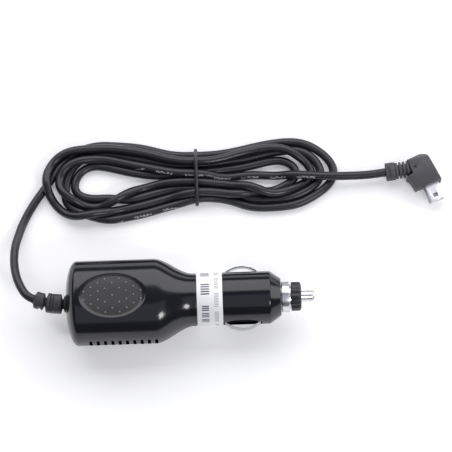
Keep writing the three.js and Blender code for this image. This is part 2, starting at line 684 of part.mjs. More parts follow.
function cordStretch(name, points) {
  const curve = curveThrough(points);
  const steps = Math.max(2, Math.round(curve.getLength() / CORD_STEP));
  return mesh(name, tube(curve, CORD_DIAMETER / 2, steps, CORD_SIDES), 'pvc');
}

// The folded cord's outer shape: a bow tie with round ends, grooved where the tie holds it.
function hank() {
  const left = HANK_X - HANK_LENGTH / 2 + HANK_LOBE;
  const right = HANK_X + HANK_LENGTH / 2 - HANK_LOBE;
  const waist = HANK_WAIST / 2;
  const leftHalf = HANK_LEFT_WIDTH / 2;
  const rightHalf = HANK_RIGHT_WIDTH / 2;
  const outline = new THREE.Shape();
  outline.moveTo(TIE_X, -waist);
  outline.bezierCurveTo((TIE_X + right) / 2, -waist, (TIE_X + right) / 2, -rightHalf, right, -rightHalf);
  outline.absellipse(right, 0, HANK_LOBE, rightHalf, -Math.PI / 2, Math.PI / 2);
  outline.bezierCurveTo((TIE_X + right) / 2, rightHalf, (TIE_X + right) / 2, waist, TIE_X, waist);
  outline.bezierCurveTo((TIE_X + left) / 2, waist, (TIE_X + left) / 2, leftHalf, left, leftHalf);
  outline.absellipse(left, 0, HANK_LOBE, leftHalf, Math.PI / 2, (3 * Math.PI) / 2);
  outline.bezierCurveTo((TIE_X + left) / 2, -leftHalf, (TIE_X + left) / 2, -waist, TIE_X, -waist);
  const upright = { depth: HANK_HEIGHT, bevelEnabled: false, curveSegments: 10 };
  const block = new THREE.ExtrudeGeometry(outline, upright).translate(0, HANK_Y, LIFT);
  const half = TIE_WIDTH / 2 + GAP;
  const around = box(TIE_X - half, TIE_X + half, HANK_Y - HANK_WAIST, HANK_Y + HANK_WAIST,
    -1, HANK_HEIGHT + 2);
  const inset = TIE_THICKNESS + GAP;
  const core = box(TIE_X - half - 1, TIE_X + half + 1, HANK_Y - waist + GAP, HANK_Y + waist - GAP,
    LIFT + inset, LIFT + HANK_HEIGHT - GAP);
  const groove = solid(around).subtract(solid(core));
  return mesh('cord_hank', geometryOf(solid(block).subtract(groove)), 'pvc');
}

function cableTie() {
  const halfWidth = HANK_WAIST / 2 + TIE_THICKNESS;
  const bottom = LIFT;
  const top = LIFT + HANK_HEIGHT + TIE_THICKNESS;
  const frame = polygon([[-halfWidth, bottom], [halfWidth, bottom], [halfWidth, top], [-halfWidth, top]]);
  frame.holes.push(new THREE.Path([
    [-halfWidth + TIE_THICKNESS, bottom + TIE_THICKNESS], [-halfWidth + TIE_THICKNESS, top - TIE_THICKNESS],
    [halfWidth - TIE_THICKNESS, top - TIE_THICKNESS], [halfWidth - TIE_THICKNESS, bottom + TIE_THICKNESS],
  ].map(([x, y]) => new THREE.Vector2(x, y))));
  const band = new THREE.ExtrudeGeometry(frame, { depth: TIE_WIDTH, bevelEnabled: false })
    .rotateX(Math.PI / 2)
    .rotateZ(Math.PI / 2)
    .translate(TIE_X - TIE_WIDTH / 2, HANK_Y, 0);
  return mesh('cable_tie', band, 'pvc');
}

// ---------------------------------------------------------------- mini USB plug
// Section of the metal shell: the wide half below, the narrow half above.
function usbSection(inset) {
  const wide = USB_WIDTH / 2 - inset;
  const narrow = USB_NARROW / 2 - inset;
  const bottom = -USB_HEIGHT / 2 + inset;
  const top = USB_HEIGHT / 2 - inset;
  const step = -USB_HEIGHT / 2 + USB_STEP - inset * 0.4;
  return [[-wide, bottom], [wide, bottom], [wide, step], [narrow, step + 0.5], [narrow, top],
    [-narrow, top], [-narrow, step + 0.5], [-wide, step]];
}

// A prism of that section from y0 back to y1; the shell points along -Y.
function usbPrism(inset, y0, y1) {
  return new THREE.ExtrudeGeometry(polygon(usbSection(inset)), { depth: y1 - y0, bevelEnabled: false })
    .rotateX(Math.PI / 2)
    .translate(0, y1, 0);
}

function usbParts() {
  const middle = PLUG_THICKNESS / 2;
  const shell = solid(usbPrism(0, -USB_LENGTH, USB_SEAT))
    .subtract(solid(usbPrism(USB_WALL, -USB_LENGTH - 1, USB_SEAT - USB_WALL)))
    .subtract(solid(box(-USB_WINDOW / 2, USB_WINDOW / 2,
      -USB_LENGTH + 1.4, -USB_LENGTH + 1.4 + USB_WINDOW * 0.85, 0.5, USB_HEIGHT)));
  const tongueTop = 0.5;
  const insulator = box(-USB_NARROW / 2 + 0.6, USB_NARROW / 2 - 0.6,
    -USB_LENGTH + 0.8, USB_SEAT - USB_WALL - GAP, -0.5, tongueTop);
  const parts = [
    mesh('usb_shell', geometryOf(shell), 'nickel'),
    mesh('usb_insulator', insulator, 'chip'),
  ];
  for (let i = 0; i < USB_CONTACTS; i += 1) {
    const x = (i - (USB_CONTACTS - 1) / 2) * USB_CONTACT_PITCH;
    const strip = box(x - 0.17, x + 0.17, -USB_LENGTH + 1, USB_SEAT - 1, -0.85, -0.65);
    parts.push(mesh(`usb_contact_${i + 1}`, strip, 'brass'));
  }
  for (const part of parts) part.geometry.translate(0, 0, middle);
  return parts;
}

// The right-angle overmould with its ribbed relief, one moulding.
function plugOvermold() {
  const outline = new THREE.Shape();
  outline.moveTo(-6.6, 0.3);
  outline.lineTo(4.5, 0.3);
  outline.lineTo(3.4, 9.8);
  outline.quadraticCurveTo(3, 13.2, 0.2, 13.6);
  outline.lineTo(-5.4, 12.4);
  outline.lineTo(-5.2, 6.6);
  outline.lineTo(-8.2, 5.7);
  outline.quadraticCurveTo(-6.6, 4.2, -6.6, 0.3);
  const body = new THREE.ExtrudeGeometry(outline, {
    depth: PLUG_THICKNESS - 2 * PLUG_BEVEL,
    bevelThickness: PLUG_BEVEL,
    bevelSize: PLUG_BEVEL,
    bevelOffset: -PLUG_BEVEL,
    bevelSegments: 2,
    curveSegments: 5,
  }).translate(0, 0, PLUG_BEVEL);
  const middle = PLUG_THICKNESS / 2;
  const backSlope = box(-20, 20, 0, 12, -12, 12)
    .rotateX(THREE.MathUtils.degToRad(28))
    .rotateZ(THREE.MathUtils.degToRad(-6))
    .translate(0, 11.3, PLUG_THICKNESS);
  const dimple = new THREE.SphereGeometry(0.7, 10, 6).translate(-3.6, 8.3, PLUG_THICKNESS + 0.1);
  let relief = solid(rod(RELIEF_DIAMETER / 2 - 1, -RELIEF_PITCH * RELIEF_RIBS - COLLAR_LENGTH, 4, 16));
  for (let i = 0; i < RELIEF_RIBS; i += 1) {
    const x = -RELIEF_PITCH * (i + 0.75);
    const halfRib = RELIEF_PITCH * 0.28;
    relief = relief.add(solid(rod(RELIEF_DIAMETER / 2, x - halfRib, x + halfRib, 20)));
  }
  const collarFront = -RELIEF_PITCH * RELIEF_RIBS - 0.3;
  relief = relief.add(solid(rod(COLLAR_DIAMETER / 2, collarFront - COLLAR_LENGTH, collarFront, 20)));
  relief = relief.subtract(solid(box(collarFront - COLLAR_LENGTH - 1, collarFront - COLLAR_LENGTH + 1.6,
    -4.5, 4.5, CORD_DIAMETER / 2 + 0.9, 5)));
  const turn = THREE.MathUtils.radToDeg(RELIEF_TURN);
  relief = relief.rotate([0, 0, turn]).translate([...PLUG_RELIEF_PLACE, middle]);
  const pocket = solid(usbPrism(-0.15, -1, USB_SEAT + 0.15).translate(0, 0, middle));
  const made = solid(body).subtract(solid(backSlope)).add(relief).subtract(pocket).subtract(solid(dimple));
  return mesh('plug_overmold', geometryOf(made), 'pvc');
}

// ---------------------------------------------------------------- assembly
const charger = new THREE.Group();
charger.position.z = AXIS_HEIGHT;
charger.add(...halfShells(), labelSleeve(), ...noseParts(), fuseCap(), capWasher(), tipContact(), ...fuse(),
  ...springAndTerminal(), leafContact(1), leafContact(-1), ...electronics(), ...innerWires());

const cord = new THREE.Group();
cord.add(strainRelief(), cordStretch('cord_lead', LEAD_POINTS), hank(), cableTie(),
  cordStretch('cord_tail', TAIL_POINTS));

const plug = new THREE.Group();
plug.position.set(PLUG_X, PLUG_Y, LIFT);
plug.rotation.z = PLUG_TURN;
plug.add(plugOvermold(), ...usbParts());

const group = new THREE.Group();
group.add(charger, cord, plug);

export default group;
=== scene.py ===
# %% [markdown]
# # A car charger with its tied cord
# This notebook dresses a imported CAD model: a 12 V charger for a car's accessory socket, a folded
# cord in a tied hank, and a right-angle mini USB plug. Blender works in metres here, and the
# charger's axis runs along +X. The CAD pieces are a fixed frame. New pieces are made round them,
# and each one rides on the CAD body that it moves with.

# %% Load the frame
import json
import math

import bmesh
import bpy
import numpy as np
from mathutils import Matrix, Vector

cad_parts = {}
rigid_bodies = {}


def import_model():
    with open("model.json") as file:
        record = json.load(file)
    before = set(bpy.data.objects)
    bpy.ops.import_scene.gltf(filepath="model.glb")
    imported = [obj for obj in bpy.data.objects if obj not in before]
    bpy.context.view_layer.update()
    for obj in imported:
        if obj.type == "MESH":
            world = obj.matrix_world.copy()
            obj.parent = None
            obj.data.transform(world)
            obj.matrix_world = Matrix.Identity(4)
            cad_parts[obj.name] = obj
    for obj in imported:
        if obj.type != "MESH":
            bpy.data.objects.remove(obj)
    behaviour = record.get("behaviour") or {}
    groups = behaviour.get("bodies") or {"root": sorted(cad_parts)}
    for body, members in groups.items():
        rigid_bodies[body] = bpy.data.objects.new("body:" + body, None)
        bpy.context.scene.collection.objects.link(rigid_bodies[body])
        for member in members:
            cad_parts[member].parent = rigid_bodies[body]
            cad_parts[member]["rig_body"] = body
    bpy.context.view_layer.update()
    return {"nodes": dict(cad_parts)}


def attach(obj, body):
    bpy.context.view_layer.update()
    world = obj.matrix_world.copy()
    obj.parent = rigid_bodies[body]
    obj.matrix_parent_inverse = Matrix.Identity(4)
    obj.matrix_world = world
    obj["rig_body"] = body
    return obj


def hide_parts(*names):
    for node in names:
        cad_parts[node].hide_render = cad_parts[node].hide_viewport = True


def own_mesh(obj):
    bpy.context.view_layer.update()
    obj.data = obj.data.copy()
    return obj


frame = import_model()
MM = 0.001

# %% [markdown]
# ## Camera
# A product picture of a flat lay is taken from almost straight above with a long lens, which
# keeps the cord and the charger at the same scale. The camera stands 76 degrees above the
# table and is rolled by 2 degrees, so its axes are built from those two angles.

# %% Camera
ELEVATION = math.radians(76)
ROLL = math.radians(1.95)
DISTANCE = 1.4
FRAME_WIDTH = 177.4 * MM  # what the picture spans at the charger's axis
AXIS_HEIGHT = 14 * MM
LOOK_AT = Vector((14.9, 32.7, 0)) * MM

across = Vector((1, 0, 0))
upward = Vector((0, math.sin(ELEVATION), math.cos(ELEVATION)))
towards = Vector((0, -math.cos(ELEVATION), math.sin(ELEVATION)))
right = across * math.cos(ROLL) - upward * math.sin(ROLL)
up = across * math.sin(ROLL) + upward * math.cos(ROLL)

camera_data = bpy.data.cameras.new("camera")
camera_data.sensor_width = 36
camera_data.lens = 18 * (DISTANCE - AXIS_HEIGHT * math.sin(ELEVATION)) / (FRAME_WIDTH / 2)
camera = bpy.data.objects.new("camera", camera_data)
bpy.context.scene.collection.objects.link(camera)
camera.matrix_world = Matrix((
    (right.x, up.x, towards.x, LOOK_AT.x + towards.x * DISTANCE),
    (right.y, up.y, towards.y, LOOK_AT.y + towards.y * DISTANCE),
    (right.z, up.z, towards.z, LOOK_AT.z + towards.z * DISTANCE),
    (0, 0, 0, 1),
))
bpy.context.scene.camera = camera
bpy.context.scene.view_settings.view_transform = "Standard"
print("lens", round(camera_data.lens, 1), "mm")

# %% [markdown]
# ## The cord's route
# A thin two-core lead is folded by hand into a hank: four turns that share one outline, pinched
# by a tie in the middle. The outline is drawn once, as the middle line of the outermost strand.
# Each turn then follows it at its own inset and height, given at 16 stations round the loop, so
# that strands swap places as they do in a real hank.

# %% The outline of the hank
CORD_DIAMETER = 3.4
CORD_RADIUS = CORD_DIAMETER / 2
STATIONS = {  # outermost strand, middle line in millimetres, clockwise from the left end
    "left_end": (-56.4, 52.6), "left_up": (-50.6, 61.7), "left_top": (-36.3, 65.8),
    "top_left": (-16.0, 64.7), "tie_top": (3.8, 61.1), "top_right": (20.0, 62.7),
    "right_top": (38.5, 65.6), "right_up": (51.5, 62.1), "right_end": (58.8, 52.6),
    "right_low": (51.5, 44.6), "right_bottom": (38.0, 39.5), "low_right": (20.0, 41.7),
    "tie_low": (3.8, 44.2), "low_left": (-16.5, 39.0), "left_bottom": (-37.0, 37.8),
    "left_low": (-51.0, 41.2),
}
EXTRA = {  # further points between two stations, which fix the outline's shape
    "left_end": [(-55.2, 56.8), (-53.5, 59.0)], "left_up": [(-45.3, 64.3)],
    "left_top": [(-26.8, 65.6)], "top_left": [(-8.2, 62.4), (-2.0, 61.3)],
    "tie_top": [(11.9, 61.2)], "top_right": [(30.0, 64.7)], "right_top": [(47.3, 64.6)],
    "right_up": [(56.2, 58.2), (58.2, 55.5)], "right_end": [(58.1, 49.8), (55.8, 47.2)],
    "right_low": [(46.0, 41.7)], "right_bottom": [(29.0, 39.7)], "low_right": [(11.6, 43.6)],
    "tie_low": [(-4.1, 43.2), (-9.2, 41.7)], "low_left": [(-26.0, 37.8)],
    "left_bottom": [(-46.3, 39.0)], "left_low": [(-54.4, 45.6), (-56.0, 49.2)],
}


def smooth_line(points, step=1.0):
    """Points a step apart on a smooth open curve through the given ones."""
    before, beyond = 2 * np.array(points[0]) - points[1], 2 * np.array(points[-1]) - points[-2]
    p = np.array([before, *points, beyond], float)
    out = []
    for a, b, c, d in zip(p, p[1:], p[2:], p[3:]):
        t1 = np.linalg.norm(b - a) ** 0.5
        t2 = t1 + np.linalg.norm(c - b) ** 0.5
        t3 = t2 + np.linalg.norm(d - c) ** 0.5
        t = np.linspace(t1, t2, max(2, round(np.linalg.norm(c - b) / step) + 1))[:-1, None]
        ab = (t1 - t) / t1 * a + t / t1 * b
        bc = (t2 - t) / (t2 - t1) * b + (t - t1) / (t2 - t1) * c
        cd = (t3 - t) / (t3 - t2) * c + (t - t2) / (t3 - t2) * d
        abc = (t2 - t) / t2 * ab + t / t2 * bc
        bcd = (t3 - t) / (t3 - t1) * bc + (t - t1) / (t3 - t1) * cd
        out.append((t2 - t) / (t2 - t1) * abc + (t - t1) / (t2 - t1) * bcd)
    return np.concatenate([*out, p[-2][None]])


def even(points, step):
    """The same line with its points a fixed step apart."""
    p = np.array(points, float)
    run = np.concatenate([[0], np.cumsum(np.linalg.norm(np.diff(p, axis=0), axis=1))])
    at = np.linspace(0, run[-1], max(2, round(run[-1] / step) + 1))
    return np.column_stack([np.interp(at, run, p[:, i]) for i in range(3)])


outline = np.array([place for name, place in STATIONS.items() for place in (place, *EXTRA[name])])
station_at = np.cumsum([0] + [1 + len(EXTRA[name]) for name in STATIONS])
tangent = np.roll(outline, -1, 0) - np.roll(outline, 1, 0)
tangent /= np.linalg.norm(tangent, axis=1)[:, None]
inward = np.stack([tangent[:, 1], -tangent[:, 0]], 1)
print("outline", len(outline), "points,", len(STATIONS), "stations")

# %% [markdown]
# The table below has one row for each turn. A pair is the inset from the outline and the height
# of the strand's middle, both in millimetres: 1.7 lies on the table, and about 4.7 lies in the
# groove between two strands. None leaves a station out, where a strand cuts the corner inside
# the others.

# %% Insets and heights of the turns
LOW, HIGH = 1.72, 4.75
TURNS = [
    [(3.7, LOW), (2.4, LOW), (-0.4, LOW), (0, LOW), (0, LOW), (0, LOW), (0, LOW), (0, LOW),
     (0, LOW), (0, LOW), (0.8, LOW), (0.6, LOW), (0, LOW), (0, LOW), (0.3, LOW), (4.2, LOW)],
    [(8.9, LOW), (6.6, LOW), (3.0, LOW), (3.5, LOW), (3.7, LOW), (3.5, LOW), (3.6, LOW),
     (4.2, LOW), (5.2, LOW), (4.4, LOW), (3.4, LOW), (3.5, LOW), (3.5, LOW), (6.6, LOW),
     (6.4, LOW), (9.0, LOW)],
    [(12.3, LOW), (10.2, LOW), (6.5, LOW), (9.5, LOW), (7.6, LOW), (6.9, LOW), (7.2, LOW), None,
     (14.9, LOW), None, (6.7, LOW), (2.9, HIGH), (1.7, HIGH), (2.9, 4.2), (0.7, 5.0), (0.6, 5.2)],
    [(0.3, HIGH), (0.7, 5.0), (0.4, 5.1), (2.7, HIGH), (3.4, HIGH), (2.5, HIGH), (3.2, 5.1),
     (5.9, 5.0), (8.8, 4.4), (4.8, 5.4), (4.9, 5.6), (5.0, 5.5), (5.1, HIGH), (8.7, HIGH),
     (3.8, HIGH), (5.2, HIGH)],
    [(5.6, HIGH), (5.2, HIGH), (4.7, HIGH), (8.6, HIGH), (8.3, HIGH)],
]
REAR = -48.6
LEAD = [  # from the strain relief down to the table, and under the hank's left end
    (REAR - 12.2, 2.28, 14), (REAR - 13.2, 2.75, 14), (REAR - 15, 3.9, 13.8),
    (REAR - 16.6, 5.9, 13.2), (REAR - 18.4, 9.7, 12), (REAR - 19.6, 13.9, 10.2),
    (REAR - 20.2, 18.4, 8.1), (REAR - 20.2, 22.7, 6.1), (REAR - 19.7, 26.8, 4.4),
    (REAR - 18.5, 31, 3),
    (REAR - 17.1, 35, 2.1), (REAR - 15.3, 38.8, LOW), (REAR - 13.2, 42.4, LOW),
    (REAR - 10.8, 46, LOW), (REAR - 8.4, 49.2, LOW), (REAR - 5.6, 53.2, LOW),
]
TAIL = [  # from the tie over the right loop to the plug's relief
    (12, 53.0, HIGH), (22, 52.9, HIGH), (32, 52.3, 5.6), (42, 51.4, 6.4), (49, 51.0, 6.6),
    (55, 50.6, 5.8), (60.4, 50.3, 4.8), (63, 50.4, 4.5), (66, 50.45, 4.2), (69, 50.55, 4),
    (72, 50.7, 3.9), (75, 50.98, 3.85), (78.6, 51.42, 3.82), (80.0, 51.6, 3.82),
]

BEAD_STEP = 2.0
NEAR_OUTLINE = 7  # a strand with a smaller inset keeps the outline's shape between stations
keys = []
for row, turn in enumerate(TURNS):
    following = [*turn, TURNS[row + 1][0]] if row < len(TURNS) - 1 else turn
    for i, pair in enumerate(following[:len(STATIONS)]):
        if pair is None:
            continue
        spot = station_at[i]
        keys.append((*(outline[spot] + inward[spot] * pair[0]), pair[1]))
        after = following[i + 1] if i + 1 < len(following) else None
        if not after or max(pair[0], after[0]) >= NEAR_OUTLINE:
            continue
        for k in range(spot + 1, station_at[i + 1]):  # the outline's further points
            share = (k - spot) / (station_at[i + 1] - spot)
            off = pair[0] + (after[0] - pair[0]) * share
            keys.append((*(outline[k] + inward[k] * off), pair[1] + (after[1] - pair[1]) * share))

line = even(smooth_line([*LEAD, *keys[1:], *TAIL]), BEAD_STEP)
print("drawn route", len(line), "points", round(BEAD_STEP * (len(line) - 1)), "mm")

# %% [markdown]
# ## Letting the cord settle
# As drawn, some strands still pass through each other. So the route is treated as a chain of
# beads that keep their places loosely, push each other apart when they are closer than one
# diameter, sink under their weight and stay stiff against sharp bends. A few hundred small steps
# give the way a real cord nests. The tie runs under the hank, so the table counts as a little
# higher there.

# %% Settle the strands
TIE_X, TIE_DIAMETER = 3.8, 1.45
STEPS, LOOSER_FROM = 320, 200
PULL, LOOSE_PULL = 0.05, 0.02  # share of the way back to the drawn line, in each step
SINK = 0.03  # mm in each step
SPACING = CORD_DIAMETER * 1.01
PUSH = 0.35  # share of an overlap that each of two beads gives way in a step
STIFFNESS, STIFF_ROUNDS = 0.9, 3
TIE_SPREAD = 8  # mm along X over which the tie lifts the strands
LEAD_BEADS, PLUG_BEADS = 38, 9  # beads that hold their places at the two ends
HANK_LOW, HANK_HIGH = 40, 66  # the hank's range in Y at the tie
bead = line.copy()
bead_count = len(bead)
free = np.ones(bead_count)
free[:LEAD_BEADS] = 0  # the lead in the air holds its line
free[-PLUG_BEADS:] = 0  # so does the end at the plug
pair_i, pair_j = np.triu_indices(bead_count, 6)  # beads nearer along the cord don't push
for step in range(STEPS):
    pull = PULL if step < LOOSER_FROM else LOOSE_PULL
    bead[:, :2] += (line[:, :2] - bead[:, :2]) * pull * free[:, None]
    bead[:, 2] -= SINK * free
    near = np.abs(bead[pair_i, 0] - bead[pair_j, 0]) < CORD_DIAMETER
    i, j = pair_i[near], pair_j[near]
    gap = bead[i] - bead[j]
    far = np.linalg.norm(gap, axis=1)
    hit = far < SPACING
    i, j, gap, far = i[hit], j[hit], gap[hit], far[hit]
    push = gap / np.maximum(far, 0.2)[:, None] * ((SPACING - far) * PUSH)[:, None]
    move = np.zeros_like(bead)
    hits = np.zeros(bead_count)
    np.add.at(move, i, push)
    np.add.at(move, j, -push)
    np.add.at(hits, i, 1)
    np.add.at(hits, j, 1)
    bead += move / np.maximum(1, hits * 0.5)[:, None] * free[:, None]
    for _ in range(STIFF_ROUNDS):
        bend = np.zeros_like(bead)
        bend[2:-2] = -(bead[:-4] - 4 * bead[1:-3] + 6 * bead[2:-2] - 4 * bead[3:-1] + bead[4:]) / 16
        bead += bend * STIFFNESS * free[:, None]
    over_tie = np.exp(-((bead[:, 0] - TIE_X) / TIE_SPREAD) ** 2)
    raised = TIE_DIAMETER * over_tie * (bead[:, 1] > HANK_LOW) * (bead[:, 1] < HANK_HIGH)
    bead[:, 2] = np.maximum(bead[:, 2], CORD_RADIUS + 0.02 + raised * (free > 0))
cord_path = even(smooth_line(bead), 1.0)
gap = bead[pair_i] - bead[pair_j]
top = bead[LEAD_BEADS:-PLUG_BEADS, 2].max()
print("highest strand's middle", round(top, 2), "mm")

# %% [markdown]
# ## The cord's skin
# The cord is extruded PVC with a line of print along it. A tube is laid along the settled line:
# one ring of points each millimetre. Its UV map keeps the distance along the cord in
# millimetres and the place round it, so that the print can follow it. A cord turns as it is
# folded, so the print twists out of sight and back: it shows on the near side of the last run,
# and on the lowest strand left of the tie.

# %% Tube along the cord
TUBE_SIDES = 16
collection = bpy.context.scene.collection


def object_from(name, vertices, faces, smooth=True):
    """A mesh object from points in millimetres."""
    data = bpy.data.meshes.new(name)
    data.from_pydata([tuple(c * MM for c in v) for v in vertices], [], faces)
    data.validate()
    if smooth:
        data.shade_smooth()
    made = bpy.data.objects.new(name, data)
    collection.objects.link(made)
    return made


def ring_faces(count, sides, closed=False):
    """Faces between rings of points, with a cap on both ends unless the rings close."""
    last = count if closed else count - 1
    faces = [(i * sides + k, i * sides + (k + 1) % sides,
              (i + 1) % count * sides + (k + 1) % sides, (i + 1) % count * sides + k)
             for i in range(last) for k in range(sides)]
    if not closed:
        faces += [tuple(range(sides))[::-1], tuple((count - 1) * sides + k for k in range(sides))]
    return faces


def tube_along(name, path, radius, sides, twist):
    """A round tube along a line of points, with a UV map of distance and angle."""
    p = np.array(path, float)
    ahead = np.roll(p, -1, 0) - np.roll(p, 1, 0)
    ahead[0], ahead[-1] = p[1] - p[0], p[-1] - p[-2]
    ahead /= np.linalg.norm(ahead, axis=1)[:, None]
    side = np.cross(ahead, [0, 0, 1.0])
    side[np.linalg.norm(side, axis=1) < 1e-6] = [1, 0, 0]
    side /= np.linalg.norm(side, axis=1)[:, None]
    above = np.cross(side, ahead)
    angle = 2 * np.pi * np.arange(sides) / sides
    rings = (p[:, None] + radius * (np.cos(angle)[None, :, None] * above[:, None]
                                    + np.sin(angle)[None, :, None] * side[:, None]))
    made = object_from(name, rings.reshape(-1, 3), ring_faces(len(p), sides))
    run = np.concatenate([[0], np.cumsum(np.linalg.norm(np.diff(p, axis=0), axis=1))])
    uv = made.data.uv_layers.new(name="along")
    for face in made.data.polygons[:(len(p) - 1) * sides]:
        i, k = divmod(face.index, sides)
        for corner in face.loop_indices:
            v = made.data.loops[corner].vertex_index
            at, round_ = divmod(v, sides)
            share = round_ / sides + (1 if k == sides - 1 and round_ == 0 else 0)
            uv.data[corner].uv = (run[at], share + twist[at])
    return made


UNDERNEATH, LAST_RUN, LOWEST_STRAND = 0.74, 1.12, 0.36  # turns of the cord about its own line
SHOWN_BEFORE_TIE, HIDDEN_AT_PLUG = 26, 23  # mm of the last run
STRAND_FROM, STRAND_TO = 6, 34  # mm past the tie
from_tie = cord_path[:, 0] - TIE_X
tie_passes = [i for i in range(1, len(cord_path))
              if from_tie[i - 1] * from_tie[i] <= 0 and cord_path[i, 1] > HANK_LOW]
print("strands at the tie, Y and Z", cord_path[tie_passes, 1:].round(1).tolist())
twist = np.full(len(cord_path), UNDERNEATH)
twist[tie_passes[-1] - SHOWN_BEFORE_TIE:-HIDDEN_AT_PLUG] = LAST_RUN
twist[tie_passes[1] + STRAND_FROM:tie_passes[1] + STRAND_TO] = LOWEST_STRAND
twist = np.convolve(np.pad(twist, 4, "edge"), np.ones(9) / 9, "valid")
cord = tube_along("cord", cord_path, CORD_RADIUS, TUBE_SIDES, twist)
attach(cord, "charger")
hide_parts("cord_lead", "cord_hank", "cord_tail")
print("cord mesh", len(cord.data.polygons), "faces")

# %% [markdown]
# ## Softer copies of CAD pieces
# A CAD piece has perfectly sharp edges, and a moulded or turned part never does. Its edges carry
# a small round that catches a thin line of light. So each visible piece is copied, its sharp
# edges are beveled, and its curved faces are shaded smoothly. The copy rides on the same body.

# %% Dress a CAD piece
def dressed(node, name, round_mm, angle=32):
    """A copy of a CAD piece with rounded edges, which stands for it."""
    data = frame["nodes"][node].data.copy()
    data.name = name
    work = bmesh.new()
    work.from_mesh(data)
    bmesh.ops.remove_doubles(work, verts=work.verts, dist=0.002 * MM)
    bmesh.ops.dissolve_limit(work, angle_limit=math.radians(0.5),
                             verts=work.verts, edges=work.edges)
    sharp = [e for e in work.edges if e.is_manifold and e.calc_face_angle(0) > math.radians(angle)]
    if round_mm and sharp:
        bmesh.ops.bevel(work, geom=sharp, offset=round_mm * MM, segments=2, profile=0.5,
                        affect="EDGES", clamp_overlap=True)
    work.to_mesh(data)
    work.free()
    data.shade_smooth()
    data.set_sharp_from_angle(angle=math.radians(angle + 8))
    made = bpy.data.objects.new(name, data)
    collection.objects.link(made)
    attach(made, frame["nodes"][node]["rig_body"])
    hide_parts(node)
    return made


overmould = dressed("plug_overmold", "plug_overmould", 0.22)
usb_shell = dressed("usb_shell", "plug_shell", 0.09)
print("overmould", len(overmould.data.polygons), "faces, shell", len(usb_shell.data.polygons))

# %% [markdown]
# The cord's far end is the mini USB plug, so the plug's pieces are named with it.

# %% [markdown]
# ## The tie
# The tie is a thin wire in a round PVC coat. Pulled tight, it takes the outer shape of the
# strands that it holds. That shape is the convex outline of the strands' circles where they
# cross the tie, grown by half the tie's thickness.

# %% Tie round the hank
crossing = np.array([cord_path[i, 1:] for i in tie_passes])
SQUEEZE = 0.1  # how far the tie presses into the soft jackets
reach = CORD_RADIUS + TIE_DIAMETER / 2 - SQUEEZE
ring_points = np.concatenate([crossing + reach * np.array([math.cos(a), math.sin(a)])
                              for a in np.linspace(0, 2 * np.pi, 24, endpoint=False)])
ring_points[:, 1] = np.maximum(ring_points[:, 1], TIE_DIAMETER / 2 + 0.03)


def hull(points):
    """Corners of the smallest convex outline round some points, counter-clockwise."""
    ordered = sorted(map(tuple, np.round(points, 4)))
    halves = []
    for run in (ordered, ordered[::-1]):
        side = []
        for p in run:
            while len(side) > 1 and ((side[-1][0] - side[-2][0]) * (p[1] - side[-2][1])
                                     <= (side[-1][1] - side[-2][1]) * (p[0] - side[-2][0])):
                side.pop()
            side.append(p)
        halves += side[:-1]
    return np.array(halves)


tie_outline = hull(ring_points)
tie_loop = even([(TIE_X, y, z) for y, z in np.vstack([tie_outline, tie_outline[:1]])], 0.5)[:-1]
tie_loop = sum(np.roll(tie_loop, k, 0) for k in (-2, -1, 0, 1, 2)) / 5
tie_loop[:, 2] = np.maximum(tie_loop[:, 2], TIE_DIAMETER / 2 + 0.02)


def band(name, loop, radius, sides):
    """A closed round band along a loop that stands upright across X."""
    ahead = np.roll(loop, -1, 0) - np.roll(loop, 1, 0)
    ahead /= np.linalg.norm(ahead, axis=1)[:, None]
    out = np.cross(ahead, [1.0, 0, 0])
    angle = 2 * np.pi * np.arange(sides) / sides
    rings = loop[:, None] + radius * (np.cos(angle)[None, :, None] * out[:, None]
                                      + np.sin(angle)[None, :, None] * np.array([1.0, 0, 0]))
    return object_from(name, rings.reshape(-1, 3), ring_faces(len(loop), sides, closed=True))


tie = band("tie", tie_loop, TIE_DIAMETER / 2, 12)
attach(tie, "charger")
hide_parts("cable_tie")
tie_top = float(tie_loop[:, 2].max()) + TIE_DIAMETER / 2
print("tie", len(tie_loop), "rings, top at", round(tie_top, 2), "mm")

# %% [markdown]
# ## The housing's half shells
# The housing is two moulded half shells. Their shape runs from a soft box at the rear through a
# rounded shoulder to a round barrel. A subdivision surface would round off the recess and the
# nose edge, so each shell is a dense grid drawn from the same section formula as the CAD piece,
# with its wall thickness, and the slots are cut out of it with a Boolean.

# %% The section formula
SEAM, WALL = 0.2, 2.2
HALF_WIDTH, HALF_HEIGHT, CROWN_FLAT, BODY_ROUNDNESS = 16.5, 14.0, 0.15, 2.25
REAR_DOME, REAR_ROUNDNESS = 4.8, 2.2
SHOULDER, BARREL, NOSE, NOSE_FACE = -14.0, 1.4, 31.1, 35.4
BARREL_RADIUS, NOSE_RADIUS, SEAT_RADIUS, BORE_RADIUS = 10.3, 7.25, 5.2, 2.6
RECESS_X, RECESS_LONG, RECESS_WIDE, RECESS_DEPTH = REAR + 18.5, 13.3, 9.3, 0.8
RECESS_EDGE = 1.5  # width of the sloping wall round the recess
AXIS = HALF_HEIGHT  # height of the charger's axis above the table
COLUMNS = 170  # of the grid, over half a section


def eased(t):
    """Rises smoothly from 0 to 1."""
    k = np.clip(t, 0, 1)
    return k * k * (3 - 2 * k)


